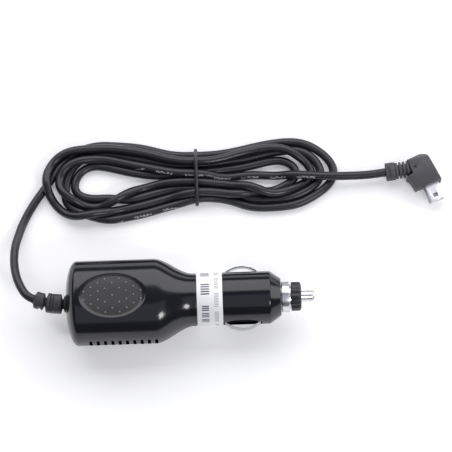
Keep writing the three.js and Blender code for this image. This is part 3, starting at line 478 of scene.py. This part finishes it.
def half_section(x, share=1.0, inset=0.0):
    """Even points over the upper half of the housing's section at x, from +Y to -Y."""
    to_barrel = eased((x - SHOULDER) / (BARREL - SHOULDER))
    nose = max(0, (x - NOSE) / (NOSE_FACE - NOSE)) * (BARREL_RADIUS - NOSE_RADIUS)
    width = HALF_WIDTH + (BARREL_RADIUS - HALF_WIDTH) * to_barrel - nose - inset
    crown = HALF_HEIGHT + CROWN_FLAT
    height = crown + (BARREL_RADIUS - crown) * to_barrel - nose - inset
    power = 2 / (BODY_ROUNDNESS + (2 - BODY_ROUNDNESS) * to_barrel)
    angle = np.linspace(0, np.pi, 901)
    y = share * width * np.sign(np.cos(angle)) * np.abs(np.cos(angle)) ** power
    z = share * height * np.abs(np.sin(angle)) ** power
    limit, soft = HALF_HEIGHT - inset, 0.5  # the crown's soft flat
    h = np.clip(0.5 + 0.5 * (limit - z) / soft, 0, 1)
    z = z * h + limit * (1 - h) - soft * h * (1 - h)
    run = np.concatenate([[0], np.cumsum(np.hypot(np.diff(y), np.diff(z)))])
    at = np.linspace(0, run[-1], COLUMNS + 1)
    return np.column_stack([np.interp(at, run, y), np.interp(at, run, z)])


print("body", half_section(-30.0).max(0).round(2), "barrel", half_section(10.0).max(0).round(2))

# %% [markdown]
# The grip recess is pressed into the crown as an oval with a sloping wall. How deep each point
# lies is kept in an attribute named grip, so that the material can give the floor of the recess
# the dull texture that its mould has.

# %% Rows of the shell
rows = []  # outer x, its share and inset; inner x, its share and inset
for a in np.linspace(0.16, np.pi / 2, 26):
    out = math.sin(a) ** (2 / REAR_ROUNDNESS)
    along = REAR_DOME * (1 - max(0.0, math.cos(a)) ** (2 / REAR_ROUNDNESS))
    rows.append((REAR + along, out, 0.0, REAR + WALL + along, out, WALL))
for x in [*np.arange(REAR + 5.1, REAR + 32.4, 0.25), *np.linspace(REAR + 32.6, SHOULDER, 6),
          *np.linspace(SHOULDER + 0.5, BARREL, 31)]:
    rows.append((x, 1.0, 0.0, max(x, REAR + WALL + REAR_DOME), 1.0, WALL))
LABEL_LOW, LABEL_HIGH, LABEL_SINK = 2.4, 12.8, 0.3
for x, sink in [(2.2, 0), (2.34, 0.03), (LABEL_LOW, 0.09), (LABEL_LOW + 0.01, LABEL_SINK),
                (5.0, LABEL_SINK), (7.6, LABEL_SINK), (10.2, LABEL_SINK),
                (LABEL_HIGH - 0.01, LABEL_SINK), (LABEL_HIGH, 0.09), (12.86, 0.03), (13.0, 0),
                *((x, 0) for x in np.linspace(14, NOSE - 2.3, 12))]:
    rows.append((x, 1.0, sink, x, 1.0, WALL))
inner_end = NOSE - WALL
outer_end = [(NOSE - 0.5, 0), (NOSE - 0.16, 0.01), (NOSE + 0.1, 0.03), (NOSE + 0.4, 0.01),
             (NOSE + 2, 0), (NOSE_FACE - 0.45, 0), (NOSE_FACE - 0.2, 0.04), (NOSE_FACE - 0.04, 0.2)]


def outward_of(yz):
    """Directions out of the body at points of its section."""
    outward = yz / np.array([HALF_WIDTH, HALF_HEIGHT]) ** 2
    return outward / np.linalg.norm(outward, axis=1)[:, None]


def at_x(x, yz):
    """Points of a section, placed at x along the charger."""
    return np.column_stack([np.full(len(yz), x), yz])


def shell_rings():
    """Outer and inner rings of the upper half, and how deep the outer points lie in the recess."""
    outer, inner, deep = [], [], []
    for x, share, inset, x_in, share_in, inset_in in rows:
        yz = half_section(x, share, inset)
        far = np.hypot((x - RECESS_X) / RECESS_LONG, yz[:, 0] / RECESS_WIDE)
        grip = eased((1 - far) * RECESS_WIDE / RECESS_EDGE) if x < SHOULDER else np.zeros(len(yz))
        outer.append(at_x(x, yz - outward_of(yz) * (RECESS_DEPTH * grip)[:, None]))
        deep.append(grip)
        inner.append(at_x(x_in, half_section(x_in, share_in, inset_in)))
    for x, inset in outer_end:
        outer.append(at_x(x, half_section(x, 1.0, inset)))
        deep.append(np.zeros(COLUMNS + 1))
    turn = np.linspace(0, np.pi, COLUMNS + 1)
    disc = np.column_stack([np.cos(turn), np.sin(turn)])
    outer.append(at_x(NOSE_FACE, disc * (NOSE_RADIUS - 0.35)))
    outer.append(at_x(NOSE_FACE, disc * SEAT_RADIUS))
    deep += [np.zeros(len(disc))] * 2
    wall = BARREL_RADIUS - WALL
    for radius in np.linspace(wall - 0.01, SEAT_RADIUS, len(outer_end) + 2):
        inner.append(at_x(inner_end, disc * radius))
    for rings, x in ((outer, REAR + 0.02), (inner, REAR + WALL)):
        rings.insert(0, at_x(x, disc * BORE_RADIUS))
    deep.insert(0, np.zeros(len(disc)))
    return np.array(outer), np.array(inner), np.array(deep)


outer_rings, inner_rings, deepness = shell_rings()
SEAM_TUCK = 0.12  # how far the parting line's soft edge turns in
for column, way in ((0, 1), (-1, -1)):
    outer_rings[:, column, 1] -= way * SEAM_TUCK
for rings in (outer_rings, inner_rings):
    rings[:, :, 2] = np.maximum(rings[:, :, 2], SEAM / 2)
print("shell grid", outer_rings.shape[0], "rows by", outer_rings.shape[1])

# %% [markdown]
# The cutters are the air slots in the near side and the windows that the spring contacts pass
# through. A slot moulded in plastic has round ends, so each is a flat bar with half circles.

# %% Cut the shells
VENT_X, VENT_PITCH, VENT_COUNT, VENT_WIDE, VENT_HIGH = REAR + 9.5, 2.84, 10, 1.2, 7.6
LEAF_FROM, LEAF_TO, LEAF_HALF = 12.7, 27.7, 2.4


def prism(outline, y0, y1):
    """Points and faces of an upright outline in X and Z, drawn out from y0 to y1."""
    n = len(outline)
    points = [(x, y, z) for y in (y0, y1) for x, z in outline]
    faces = [tuple(range(n)), tuple(range(n, 2 * n))[::-1]]
    faces += [(i, n + i, n + (i + 1) % n, (i + 1) % n) for i in range(n)]
    return points, faces


def joined(name, parts, smooth=True):
    """One object from several lists of points and faces."""
    points, faces = [], []
    for p, f in parts:
        faces += [tuple(k + len(points) for k in face) for face in f]
        points += list(p)
    return object_from(name, points, faces, smooth)


cuts = []
for i in range(VENT_COUNT):
    x, r, straight = VENT_X + i * VENT_PITCH, VENT_WIDE / 2, VENT_HIGH / 2 - VENT_WIDE / 2
    arcs = [(x + way * r * math.cos(a), AXIS + way * (straight + r * math.sin(a)))
            for way in (1, -1) for a in np.linspace(0, math.pi, 7)]
    cuts.append(prism(arcs, -HALF_WIDTH - 1, -HALF_WIDTH + WALL + 2))
leaf_window = [(LEAF_FROM, AXIS - LEAF_HALF), (LEAF_TO, AXIS - LEAF_HALF),
               (LEAF_TO, AXIS + LEAF_HALF), (LEAF_FROM, AXIS + LEAF_HALF)]
for way in (-1, 1):
    ends = sorted((way * (BARREL_RADIUS - WALL - 1), way * (BARREL_RADIUS + 1)))
    cuts.append(prism(leaf_window, *ends))


def half_shell(name, node, way):
    """One half shell of the housing: way is 1 for the upper one, -1 for the lower one."""
    n_rows, n_columns = outer_rings.shape[:2]
    turned = np.array([1, way, way])
    points = np.concatenate([outer_rings, inner_rings]).reshape(-1, 3) * turned + [0, 0, AXIS]
    at = np.arange(2 * n_rows * n_columns).reshape(2, n_rows, n_columns)
    faces = []
    for layer, flip in ((0, 1), (1, -1)):
        g = at[layer]
        quads = np.stack([g[:-1, :-1], g[1:, :-1], g[1:, 1:], g[:-1, 1:]], -1).reshape(-1, 4)
        faces += [tuple(q[::flip]) for q in quads.tolist()]
    for edge_out, edge_in in ((at[0, :, 0], at[1, :, 0]), (at[0, :, -1], at[1, :, -1]),
                              (at[0, 0], at[1, 0]), (at[0, -1], at[1, -1])):
        faces += [(a, b, c, d) for a, b, c, d in zip(edge_out.tolist(), edge_out[1:].tolist(),
                                                     edge_in[1:].tolist(), edge_in.tolist())]
    shell = object_from(name, points, faces)
    grip = shell.data.attributes.new("grip", "FLOAT", "POINT")
    grip.data.foreach_set("value", np.concatenate([deepness.ravel(), np.zeros(deepness.size)]))
    work = bmesh.new()
    work.from_mesh(shell.data)
    bmesh.ops.remove_doubles(work, verts=work.verts, dist=1e-7)
    bmesh.ops.recalc_face_normals(work, faces=work.faces)
    work.to_mesh(shell.data)
    work.free()
    cutter = joined("cutter", cuts, smooth=False)
    tool = shell.modifiers.new("cut", "BOOLEAN")
    tool.operation, tool.object, tool.solver = "DIFFERENCE", cutter, "EXACT"
    bpy.context.view_layer.update()
    evaluated = shell.evaluated_get(bpy.context.evaluated_depsgraph_get())
    cut = bpy.data.meshes.new_from_object(evaluated)
    shell.modifiers.clear()
    shell.data = cut
    bpy.data.objects.remove(cutter)
    cut.shade_smooth()
    cut.set_sharp_from_angle(angle=math.radians(38))
    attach(shell, "charger")
    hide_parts(node)
    print(name, len(cut.polygons), "faces")
    return shell


upper_shell = half_shell("shell_upper", "upper_housing", 1)
lower_shell = half_shell("shell_lower", "lower_housing", -1)

# %% [markdown]
# The raised dots in the recess are small domes that give the thumb some hold. They stand in
# columns, as the mould maker drilled them, and each is a low cap of three rings.

# %% Grip dots
DOT_RADIUS, DOT_HIGH, DOT_PITCH = 0.38, 0.3, 2.77
DOT_COLUMNS = [[0, 5], [2.7, 6.6], [1.66, 5], [0, 3.3], [1.66]]


def recess_floor(y):
    """Height of the recess's floor above the axis at a place y across it."""
    yz = half_section(RECESS_X)
    floor = yz - outward_of(yz) * RECESS_DEPTH
    return float(np.interp(-y, -floor[:, 0], floor[:, 1]))


def dot(x, y, way):
    """Points and faces of one dome on the floor of the recess."""
    sides, base, points = 12, recess_floor(y), []
    for r, h in ((1.0, -0.15), (0.92, 0.35), (0.55, 0.85)):
        points += [(x + DOT_RADIUS * r * math.cos(2 * math.pi * k / sides),
                    way * (y + DOT_RADIUS * r * math.sin(2 * math.pi * k / sides)),
                    AXIS + way * (base + DOT_HIGH * h)) for k in range(sides)]
    points += [(x, way * y, AXIS + way * (base + up_by)) for up_by in (DOT_HIGH, -0.1)]
    faces = ring_faces(3, sides, closed=False)[:2 * sides]
    faces += [(2 * sides + k, 2 * sides + (k + 1) % sides, 3 * sides) for k in range(sides)]
    faces += [((k + 1) % sides, k, 3 * sides + 1) for k in range(sides)]
    return points, faces


dot_places = [(RECESS_X + side * column * DOT_PITCH, sign * offset)
              for column, offsets in enumerate(DOT_COLUMNS)
              for side in ((1,) if column == 0 else (-1, 1))
              for offset in offsets for sign in ((1,) if offset == 0 else (-1, 1))]
dot_sets = []
for name, way in (("dots_upper", 1), ("dots_lower", -1)):
    dots = joined(name, [dot(x, y, way) for x, y in dot_places])
    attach(dots, "charger")
    dot_sets.append(dots)
print("dots", len(dot_places), "in each recess")

# %% [markdown]
# ## The turned, stamped and small moulded pieces
# The metal ring, the bush, the tip and the two spring contacts are turned or stamped, the cap is
# moulded and the label is wrapped on. Their CAD shapes are right, so each gets only its rounded
# edges. The amounts are what such parts have: about a tenth of a millimetre.

# %% Dress the visible pieces
DRESSED = [  # CAD node, new name, edge round in mm, material slot
    ("label_sleeve", "label", 0.03, "label"), ("retaining_ring", "ring", 0.12, "nickel"),
    ("threaded_bush", "bush", 0.1, "nickel"), ("fuse_cap", "cap", 0.09, "black_cap"),
    ("tip_contact", "tip", 0.12, "nickel"),
    ("side_contact_left", "leaf_left", 0.1, "spring_steel"),
    ("side_contact_right", "leaf_right", 0.1, "spring_steel"),
]
pieces = {name: dressed(node, name, round_mm) for node, name, round_mm, slot in DRESSED}
print("dressed", {name: len(p.data.polygons) for name, p in pieces.items()})

# %% [markdown]
# The strain relief at the rear is one soft PVC moulding: a flange against the housing, then two
# lobes with narrow necks and grooves that let it bend. It could be a box with slots cut in it,
# but a moulding has no sharp corners, so it is swept instead. Rounded rings follow its curve, and
# their half width and half height change with the distance from the wall.

# %% Strain relief
RELIEF_LINE = [(REAR + 4.1, 0, AXIS), (REAR, 0, AXIS), (REAR - 4.2, 0.3, AXIS),
               (REAR - 8.4, 1.1, AXIS), (REAR - 12.6, 2.4, AXIS)]
NECK = 1.8  # half width of the necks
LOBES = [  # from and to, as distances from the rear wall, then half width and half height
    (-4.0, -2.9, 3.4, 3.4), (-0.3, 0.7, 3.2, 3.2), (1.5, 7.5, 3.75, 3.3), (8.4, 12.0, 3.3, 2.9),
]
TOP_GROOVE, SIDE_GROOVE = (5.4, 0.6, 0.9), (9.6, 0.5, 0.5)  # distance, half width, depth
CORNERS = 2.9  # exponent of the rounded section, 2 is an ellipse


def soft_step(at, low, high, soft=0.7):
    """1 between low and high, 0 outside, with soft sides."""
    return eased((at - low) / soft + 0.5) * eased((high - at) / soft + 0.5)


def groove(at, place, half, depth):
    """How deep a groove is at a distance from the wall."""
    return depth * soft_step(at, place - half, place + half, 0.25)


def relief_rings():
    """Rounded rings along the relief's curve."""
    line = even(smooth_line(RELIEF_LINE, 0.1), 0.14)
    ahead = np.gradient(line, axis=0)
    ahead /= np.linalg.norm(ahead, axis=1)[:, None]
    side = np.cross([0, 0, 1.0], ahead)
    angle = 2 * np.pi * np.arange(48) / 48
    cosine, sine = np.cos(angle), np.sin(angle)
    round_y, round_z = (np.sign(v) * np.abs(v) ** (2 / CORNERS) for v in (cosine, sine))
    rings = []
    for centre, across, d in zip(line, side, REAR - line[:, 0]):
        wide = NECK + sum((w - NECK) * soft_step(d, low, high) for low, high, w, _ in LOBES)
        tall = NECK + sum((h - NECK) * soft_step(d, low, high) for low, high, _, h in LOBES)
        near, top = wide - groove(d, *SIDE_GROOVE), tall - groove(d, *TOP_GROOVE)
        y = np.where(cosine < 0, wide, near) * round_y  # across points to the near side here
        z = np.where(sine > 0, top, tall) * round_z
        rings.append(centre + y[:, None] * across + z[:, None] * np.array([0, 0, 1.0]))
    return np.array(rings)


rings = relief_rings()
count, around = rings.shape[:2]
relief = object_from("relief", rings.reshape(-1, 3), ring_faces(count, around))
relief.data.set_sharp_from_angle(angle=math.radians(50))
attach(relief, "charger")
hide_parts("strain_relief")
print("relief", count, "rings")

# %% [markdown]
# The spring behind the fuse is squeezed when the tip is pushed in. Its rear end stays on its
# terminal, so in the real charger it flattens along the charger towards that end as the fuse slides
# back. Here it is only copied without rounded edges and given a mesh of its own.

# %% The spring behind the fuse
spring_coil = dressed("contact_spring", "spring_coil", 0)
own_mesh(spring_coil)

# %% [markdown]
# ## Materials
# Colours are written as the hex codes of a colour picker, which are sRGB, and one function turns
# them to the linear values that a shader needs. Another small function adds one node with its
# settings and links. A third builds what all these finishes share: slow patches of tone, a
# little unevenness in the gloss and a fine relief, each at a size in millimetres.

# %% Helpers for materials
def linear(code):
    """A hex colour as a linear RGBA value."""
    parts = [int(code[i:i + 2], 16) / 255 for i in (1, 3, 5)]
    return (*(c / 12.92 if c <= 0.04045 else ((c + 0.055) / 1.055) ** 2.4 for c in parts), 1)


def add(tree, kind, inputs=None, **settings):
    """Adds a node. A socket given as an input is linked, and anything else is set."""
    made = tree.nodes.new(kind)
    for key, value in settings.items():
        setattr(made, key, value)
    for key, value in (inputs or {}).items():
        if isinstance(value, bpy.types.NodeSocket):
            tree.links.new(value, made.inputs[key])
        else:
            made.inputs[key].default_value = value
    return made


def finish(name, dark, light, rough, patch, grain, relief,
           spread=0.06, stretch=(1, 1, 1), **shader):
    """A surface between two tones, in patches and grain of a size in mm, with relief in mm."""
    made = bpy.data.materials.new(name)
    made.use_nodes = True
    tree = made.node_tree
    tree.nodes.clear()
    place = add(tree, "ShaderNodeTexCoord").outputs["Object"]
    place = add(tree, "ShaderNodeMapping", {"Vector": place, "Scale": stretch}).outputs[0]
    patches, grains = (
        add(tree, "ShaderNodeTexNoise",
            {"Vector": place, "Scale": 1 / (size * MM), "Detail": detail})
        for size, detail in ((patch, 3.0), (grain, 2.0)))
    share = add(tree, "ShaderNodeMapRange", {
        "Value": patches.outputs[0], "From Min": 0.3, "From Max": 0.7})
    tone = add(tree, "ShaderNodeMixRGB", {
        "Fac": share.outputs[0], "Color1": linear(dark), "Color2": linear(light)})
    gloss = add(tree, "ShaderNodeMapRange", {
        "Value": grains.outputs[0], "From Min": 0.3, "From Max": 0.7,
        "To Min": max(0.02, rough - spread), "To Max": rough + spread})
    bump = add(tree, "ShaderNodeBump", {
        "Height": grains.outputs[0], "Distance": relief * MM, "Strength": 1.0})
    skin = add(tree, "ShaderNodeBsdfPrincipled", {
        "Base Color": tone.outputs[0], "Roughness": gloss.outputs[0],
        "Normal": bump.outputs[0], **shader})
    add(tree, "ShaderNodeOutputMaterial", {"Surface": skin.outputs[0]})
    return made, {"tree": tree, "place": place, "tone": tone, "bump": bump, "skin": skin}


print("black ABS in linear", [round(c, 4) for c in linear("#17181b")])

# %% [markdown]
# ### Polished ABS
# The shells are injection moulded from black ABS in a polished mould, so they mirror the room
# softly. The floor of the grip recess was left with the grain of spark erosion, which scatters
# light and looks greyer. ABS has an index of refraction of 1.54.

# %% Polished ABS, with an eroded grip
ABS_IOR, POLISHED, ERODED = 1.54, 0.16, 0.6
EROSION_GRAIN, EROSION_DEPTH = 0.45, 0.05  # mm
abs_black, abs_nodes = finish("abs_moulded_polished", "#0f1016", "#14151c",
                              POLISHED, 14, 0.9, 0.0008, spread=0.03, IOR=ABS_IOR)
tree = abs_nodes["tree"]
grip = add(tree, "ShaderNodeAttribute", attribute_name="grip").outputs["Fac"]
tone = add(tree, "ShaderNodeMixRGB", {"Fac": grip, "Color1": abs_nodes["tone"].outputs[0],
                                      "Color2": linear("#2f2f31")})
gloss = add(tree, "ShaderNodeMapRange", {"Value": grip, "From Min": 0.75, "From Max": 1.0,
                                         "To Min": POLISHED, "To Max": ERODED})
eroded = add(tree, "ShaderNodeTexNoise", {
    "Vector": abs_nodes["place"], "Scale": 1 / (EROSION_GRAIN * MM), "Detail": 2.0})
height = add(tree, "ShaderNodeMath", {0: eroded.outputs[0], 1: grip}, operation="MULTIPLY")
spark = add(tree, "ShaderNodeBump", {"Height": height.outputs[0], "Distance": EROSION_DEPTH * MM,
                                     "Normal": abs_nodes["bump"].outputs[0]})
tree.links.new(tone.outputs[0], abs_nodes["skin"].inputs["Base Color"])
tree.links.new(gloss.outputs[0], abs_nodes["skin"].inputs["Roughness"])
tree.links.new(spark.outputs[0], abs_nodes["skin"].inputs["Normal"])
# The dots are moulded from the same black ABS as the shell. Their light grey colour is a painted
# highlight, which stands in for the glints on the small domes.
painted_highlight_dots, _ = finish("abs_moulded_dots_painted_highlight", "#707074", "#88888c", 0.3, 3, 0.5, 0.004, IOR=ABS_IOR)
print("ABS finishes ready")

# %% [markdown]
# ### Printed label
# The label is white coated paper with grey ink. The ink is generic: a few bold bars and a line of
# fine dashes, placed by the distance along the charger and the distance round the barrel.

# %% Coated paper label
LABEL_RADIUS = 10.35
LINE_X, LINE_HALF = 10.2, 0.85  # the line of fine dashes: middle and half width, in mm
STROKE_PITCH, STROKE, WORD_PITCH, WORD = 0.62, 0.36, 7.3, 5.6  # and its pattern round the barrel
paper, paper_nodes = finish("paper_coated_white", "#eeeef0", "#f6f6f8",
                            0.42, 6, 0.3, 0.002, IOR=1.45)
tree = paper_nodes["tree"]
place = add(tree, "ShaderNodeTexCoord").outputs["Object"]
xyz = add(tree, "ShaderNodeSeparateXYZ", {0: place}).outputs
above = add(tree, "ShaderNodeMath", {0: xyz["Z"], 1: AXIS * MM}, operation="SUBTRACT").outputs[0]
near = add(tree, "ShaderNodeMath", {0: xyz["Y"], 1: -1.0}, operation="MULTIPLY").outputs[0]
angle = add(tree, "ShaderNodeMath", {0: near, 1: above}, operation="ARCTAN2").outputs[0]
arc = add(tree, "ShaderNodeMath", {0: angle, 1: LABEL_RADIUS}, operation="MULTIPLY").outputs[0]
along = add(tree, "ShaderNodeMath", {0: xyz["X"], 1: 1 / MM}, operation="MULTIPLY").outputs[0]
BARS = [  # middle and half size along the charger, then round the barrel, in mm
    *((5.85, 1.65, a, 0.27) for a in (-11.9, -10.9, -9.9, -8.9, -3.8, -2.8, -1.8, -0.8, 0.2)),
    *((5.85, 1.4, a, 0.24) for a in (5.1, 5.9, 6.7, 8.1, 8.9, 9.7, 11.1, 11.9, 12.7)),
]
ink = None
for x, half_x, round_at, half_round in BARS:
    on_x = add(tree, "ShaderNodeMath", {0: along, 1: x, 2: half_x}, operation="COMPARE")
    on_arc = add(tree, "ShaderNodeMath", {0: arc, 1: round_at, 2: half_round}, operation="COMPARE")
    bar = add(tree, "ShaderNodeMath", {0: on_x.outputs[0], 1: on_arc.outputs[0]},
              operation="MULTIPLY").outputs[0]
    if ink is not None:
        bar = add(tree, "ShaderNodeMath", {0: ink, 1: bar}, operation="MAXIMUM").outputs[0]
    ink = bar
fine = add(tree, "ShaderNodeMath", {0: along, 1: LINE_X, 2: LINE_HALF},
           operation="COMPARE").outputs[0]
for pitch, length in ((STROKE_PITCH, STROKE), (WORD_PITCH, WORD)):
    at = add(tree, "ShaderNodeMath", {0: arc, 1: pitch}, operation="FLOORED_MODULO").outputs[0]
    on = add(tree, "ShaderNodeMath", {0: at, 1: length}, operation="LESS_THAN").outputs[0]
    fine = add(tree, "ShaderNodeMath", {0: fine, 1: on}, operation="MULTIPLY").outputs[0]
with_ink = add(tree, "ShaderNodeMixRGB", {"Fac": ink, "Color1": paper_nodes["tone"].outputs[0],
                                          "Color2": linear("#4c4c52")})
half_fine = add(tree, "ShaderNodeMath", {0: fine, 1: 0.62}, operation="MULTIPLY").outputs[0]
printed = add(tree, "ShaderNodeMixRGB", {"Fac": half_fine, "Color1": with_ink.outputs[0],
                                         "Color2": linear("#77777c")})
tree.links.new(printed.outputs[0], paper_nodes["skin"].inputs["Base Color"])
print("label bars", len(BARS))

# %% [markdown]
# ### Extruded PVC with a printed line
# The cord's jacket is soft PVC, extruded and rolled on a drum, with faint lines along it. Its print
# is a row of small white dashes. They follow the cord by the UV map: u is millimetres along
# it and v is the share of the way round it.

# %% Extruded PVC
PRINT_AT, PRINT_HALF = 0.24, 0.038  # the print's middle and half width, as shares of a turn
DASH_PITCH, DASHES = 11.5, 7.0  # mm along the cord
ROUND_MM = 10.7  # once round the cord
STROKES_PER_MM, GAP_LEVEL, DASH_INK = 1.55, 0.49, 0.75
pvc_cord, cord_nodes = finish("pvc_extruded_black", "#1a1a1d", "#222226",
                              0.32, 9, 0.5, 0.004, IOR=1.52)
tree = cord_nodes["tree"]
uv_map = add(tree, "ShaderNodeUVMap", uv_map="along").outputs[0]
uv = add(tree, "ShaderNodeSeparateXYZ", {0: uv_map}).outputs
share = add(tree, "ShaderNodeMath", {0: uv["Y"]}, operation="FRACT").outputs[0]
on_line = add(tree, "ShaderNodeMath", {0: share, 1: PRINT_AT, 2: PRINT_HALF}, operation="COMPARE")
round_mm = add(tree, "ShaderNodeMath", {0: share, 1: ROUND_MM}, operation="MULTIPLY").outputs[0]
dashes = add(tree, "ShaderNodeCombineXYZ", {"X": uv["X"], "Y": round_mm}).outputs[0]
broken = add(tree, "ShaderNodeTexNoise",
             {"Vector": dashes, "Scale": STROKES_PER_MM, "Detail": 1.0}).outputs[0]
strokes = add(tree, "ShaderNodeMath", {0: broken, 1: GAP_LEVEL},
              operation="GREATER_THAN").outputs[0]
group = add(tree, "ShaderNodeMath", {0: uv["X"], 1: DASH_PITCH}, operation="FLOORED_MODULO")
group = add(tree, "ShaderNodeMath", {0: group.outputs[0], 1: DASHES}, operation="LESS_THAN")
mark = on_line.outputs[0]
for factor in (strokes, group.outputs[0], DASH_INK):
    mark = add(tree, "ShaderNodeMath", {0: mark, 1: factor}, operation="MULTIPLY").outputs[0]
marked = add(tree, "ShaderNodeMixRGB", {"Fac": mark, "Color1": cord_nodes["tone"].outputs[0],
                                        "Color2": linear("#c4c4c8")})
tree.links.new(marked.outputs[0], cord_nodes["skin"].inputs["Base Color"])
print("cord print every", DASH_PITCH, "mm")

# %% [markdown]
# ### The other finishes
# Each line starts from the real material: moulded PVC and nylon are dull plastics, nickel plate
# and spring steel are metals with the default index, and the board, the fuse and the
# wires inside have the finishes that such parts have.

# %% Other finishes
pvc_moulded, _ = finish("pvc_moulded_matte", "#3e3e42", "#47474b", 0.55, 5, 0.35, 0.01, IOR=1.52)
pvc_relief, _ = finish("pvc_moulded_relief", "#2a2a2d", "#333336", 0.42, 5, 0.4, 0.008, IOR=1.52)
pvc_coat, _ = finish("pvc_wire_coat", "#1e1e21", "#27272a", 0.35, 3, 0.4, 0.005, IOR=1.52)
nylon, _ = finish("nylon_moulded_cap", "#1c1c1f", "#252528", 0.4, 4, 0.3, 0.006, IOR=1.53)
nickel, _ = finish("nickel_plated_brass", "#d2d3d5", "#e2e3e5",
                   0.26, 3, 0.25, 0.0003, spread=0.05, stretch=(4, 1, 1), Metallic=1.0)
usb_nickel, _ = finish("nickel_plated_steel_strip", "#e6e5ea", "#f0eff4",
                       0.5, 4, 0.3, 0.0008, Metallic=1.0)
spring, _ = finish("spring_steel_rolled", "#b4b5b8", "#cbccce",
                   0.28, 4, 0.25, 0.002, stretch=(1, 6, 6), Metallic=1.0)
brass, _ = finish("brass_stamped", "#b8975a", "#cbab6c", 0.3, 3, 0.3, 0.002, Metallic=1.0)
copper, _ = finish("copper_enamelled", "#9a5a30", "#b87040", 0.3, 2, 0.2, 0.003, Metallic=1.0)
glass, _ = finish("glass_fuse_tube", "#f2f6f6", "#fafcfc",
                  0.05, 5, 2, 0.0005, spread=0.02, IOR=1.5, **{"Transmission Weight": 0.95})
board, _ = finish("fr4_solder_mask", "#1f5a34", "#2b6d40", 0.38, 4, 0.4, 0.006, IOR=1.55)
fibre, _ = finish("fibre_washer", "#c9c2b2", "#d8d2c4", 0.7, 2, 0.2, 0.01, IOR=1.5)
ferrite, _ = finish("ferrite_pressed", "#2c2e31", "#3a3c40", 0.6, 2, 0.2, 0.012, IOR=1.6)
can_sleeve, _ = finish("pvc_shrink_sleeve_blue", "#20345e", "#2b4272", 0.3, 3, 0.4, 0.004, IOR=1.52)
lcp, _ = finish("lcp_moulded_grey", "#a2a2a4", "#b0b0b2", 0.5, 2, 0.2, 0.004, IOR=1.6)
epoxy, _ = finish("epoxy_moulded_chip", "#1a1a1b", "#232324", 0.55, 2, 0.15, 0.006, IOR=1.55)
wire_red, _ = finish("pvc_wire_red", "#8e1c1c", "#a62626", 0.4, 3, 0.4, 0.004, IOR=1.52)
wire_black, _ = finish("pvc_wire_black", "#1c1c1e", "#262628", 0.4, 3, 0.4, 0.004, IOR=1.52)
WEARS = [  # finish, then the pieces and CAD nodes that wear it
    (abs_black, [upper_shell, lower_shell]), (painted_highlight_dots, dot_sets), (paper, [pieces["label"]]),
    (pvc_cord, [cord]), (pvc_coat, [tie]), (pvc_moulded, [overmould]), (pvc_relief, [relief]),
    (nickel, [pieces["ring"], pieces["bush"], pieces["tip"], "fuse_end_rear", "fuse_end_front"]),
    (usb_nickel, [usb_shell]), (spring, [pieces["leaf_left"], pieces["leaf_right"], spring_coil]),
    (nylon, [pieces["cap"]]), (fibre, ["cap_washer"]), (glass, ["fuse_glass"]),
    (copper, ["fuse_wire", "inductor_winding"]), (board, ["circuit_board"]),
    (ferrite, ["inductor_core"]),
    (brass, ["spring_terminal", *(f"usb_contact_{i}" for i in range(1, 6))]),
    (can_sleeve, ["input_capacitor", "output_capacitor"]),
    (epoxy, ["regulator_chip", "diode"]), (lcp, ["usb_insulator"]),
    (wire_red, ["wire_tip", "wire_side_left", "cord_wire_positive"]),
    (wire_black, ["wire_side_right", "cord_wire_negative"]),
]
for surface, wearers in WEARS:
    for wearer in wearers:
        worn = frame["nodes"][wearer] if isinstance(wearer, str) else wearer
        worn.data.materials.clear()
        worn.data.materials.append(surface)
print("finishes", len(WEARS), "on", sum(len(w) for _, w in WEARS), "pieces")

# %% [markdown]
# ## Table and light
# The table is a plain pale sheet of paper that glows a little, as a light table does, so that it
# stays white under soft light.

# %% Table
sheet, _ = finish("paper_backdrop_lit", "#f0f0f0", "#f3f3f3", 0.9, 60, 2, 0.01, IOR=1.3,
                  **{"Emission Color": linear("#ffffff"), "Emission Strength": 0.22})
TABLE = 2.2  # half its width in metres
LINES = 9  # of points across the table
places = np.linspace(-TABLE, TABLE, LINES)
table_points = [(x / MM, y / MM, 0.0) for y in places for x in places]
table_faces = [(k, k + 1, k + LINES + 1, k + LINES)
               for k in range(LINES * (LINES - 1)) if k % LINES < LINES - 1]
table = object_from("table", table_points, table_faces, smooth=False)
table.data.materials.append(sheet)
print("table", 2 * TABLE, "m wide")

# %% [markdown]
# A large soft box behind the object draws the long grey bands on the glossy housing. A dim one
# from the front fills the near side, and another on the right brightens the metal. A small key
# lamp leaves bright spots on the shoulder. Each lamp is aimed at the middle of the table.

# %% Lights
world = bpy.data.worlds.new("studio")
world.use_nodes = True
world.node_tree.nodes["Background"].inputs["Color"].default_value = linear("#f4f4f8")
world.node_tree.nodes["Background"].inputs["Strength"].default_value = 0.12
bpy.context.scene.world = world
LAMPS = [  # name, place in metres, width, depth, watts, colour
    ("back_box", (0.0, 0.86, 0.84), 2.4, 1.2, 21.0, "#fafaff"),
    ("front_box", (0.0, -0.59, 1.27), 2.0, 1.4, 4.0, "#eef0ff"),
    ("side_box", (1.15, 0.25, 0.42), 0.9, 0.8, 5.0, "#ffffff"),
    ("key", (0.54, -0.66, 0.82), 0.28, 0.28, 3.6, "#ffffff"),
]
for name, place, wide, deep, watts, colour in LAMPS:
    lamp_data = bpy.data.lights.new(name, "AREA")
    lamp_data.shape, lamp_data.size, lamp_data.size_y = "RECTANGLE", wide, deep
    lamp_data.energy, lamp_data.color = watts, linear(colour)[:3]
    lamp = bpy.data.objects.new(name, lamp_data)
    collection.objects.link(lamp)
    lamp.location = place
    lamp.rotation_euler = (-Vector(place)).to_track_quat("-Z", "Y").to_euler()
print("lamps", len(LAMPS))
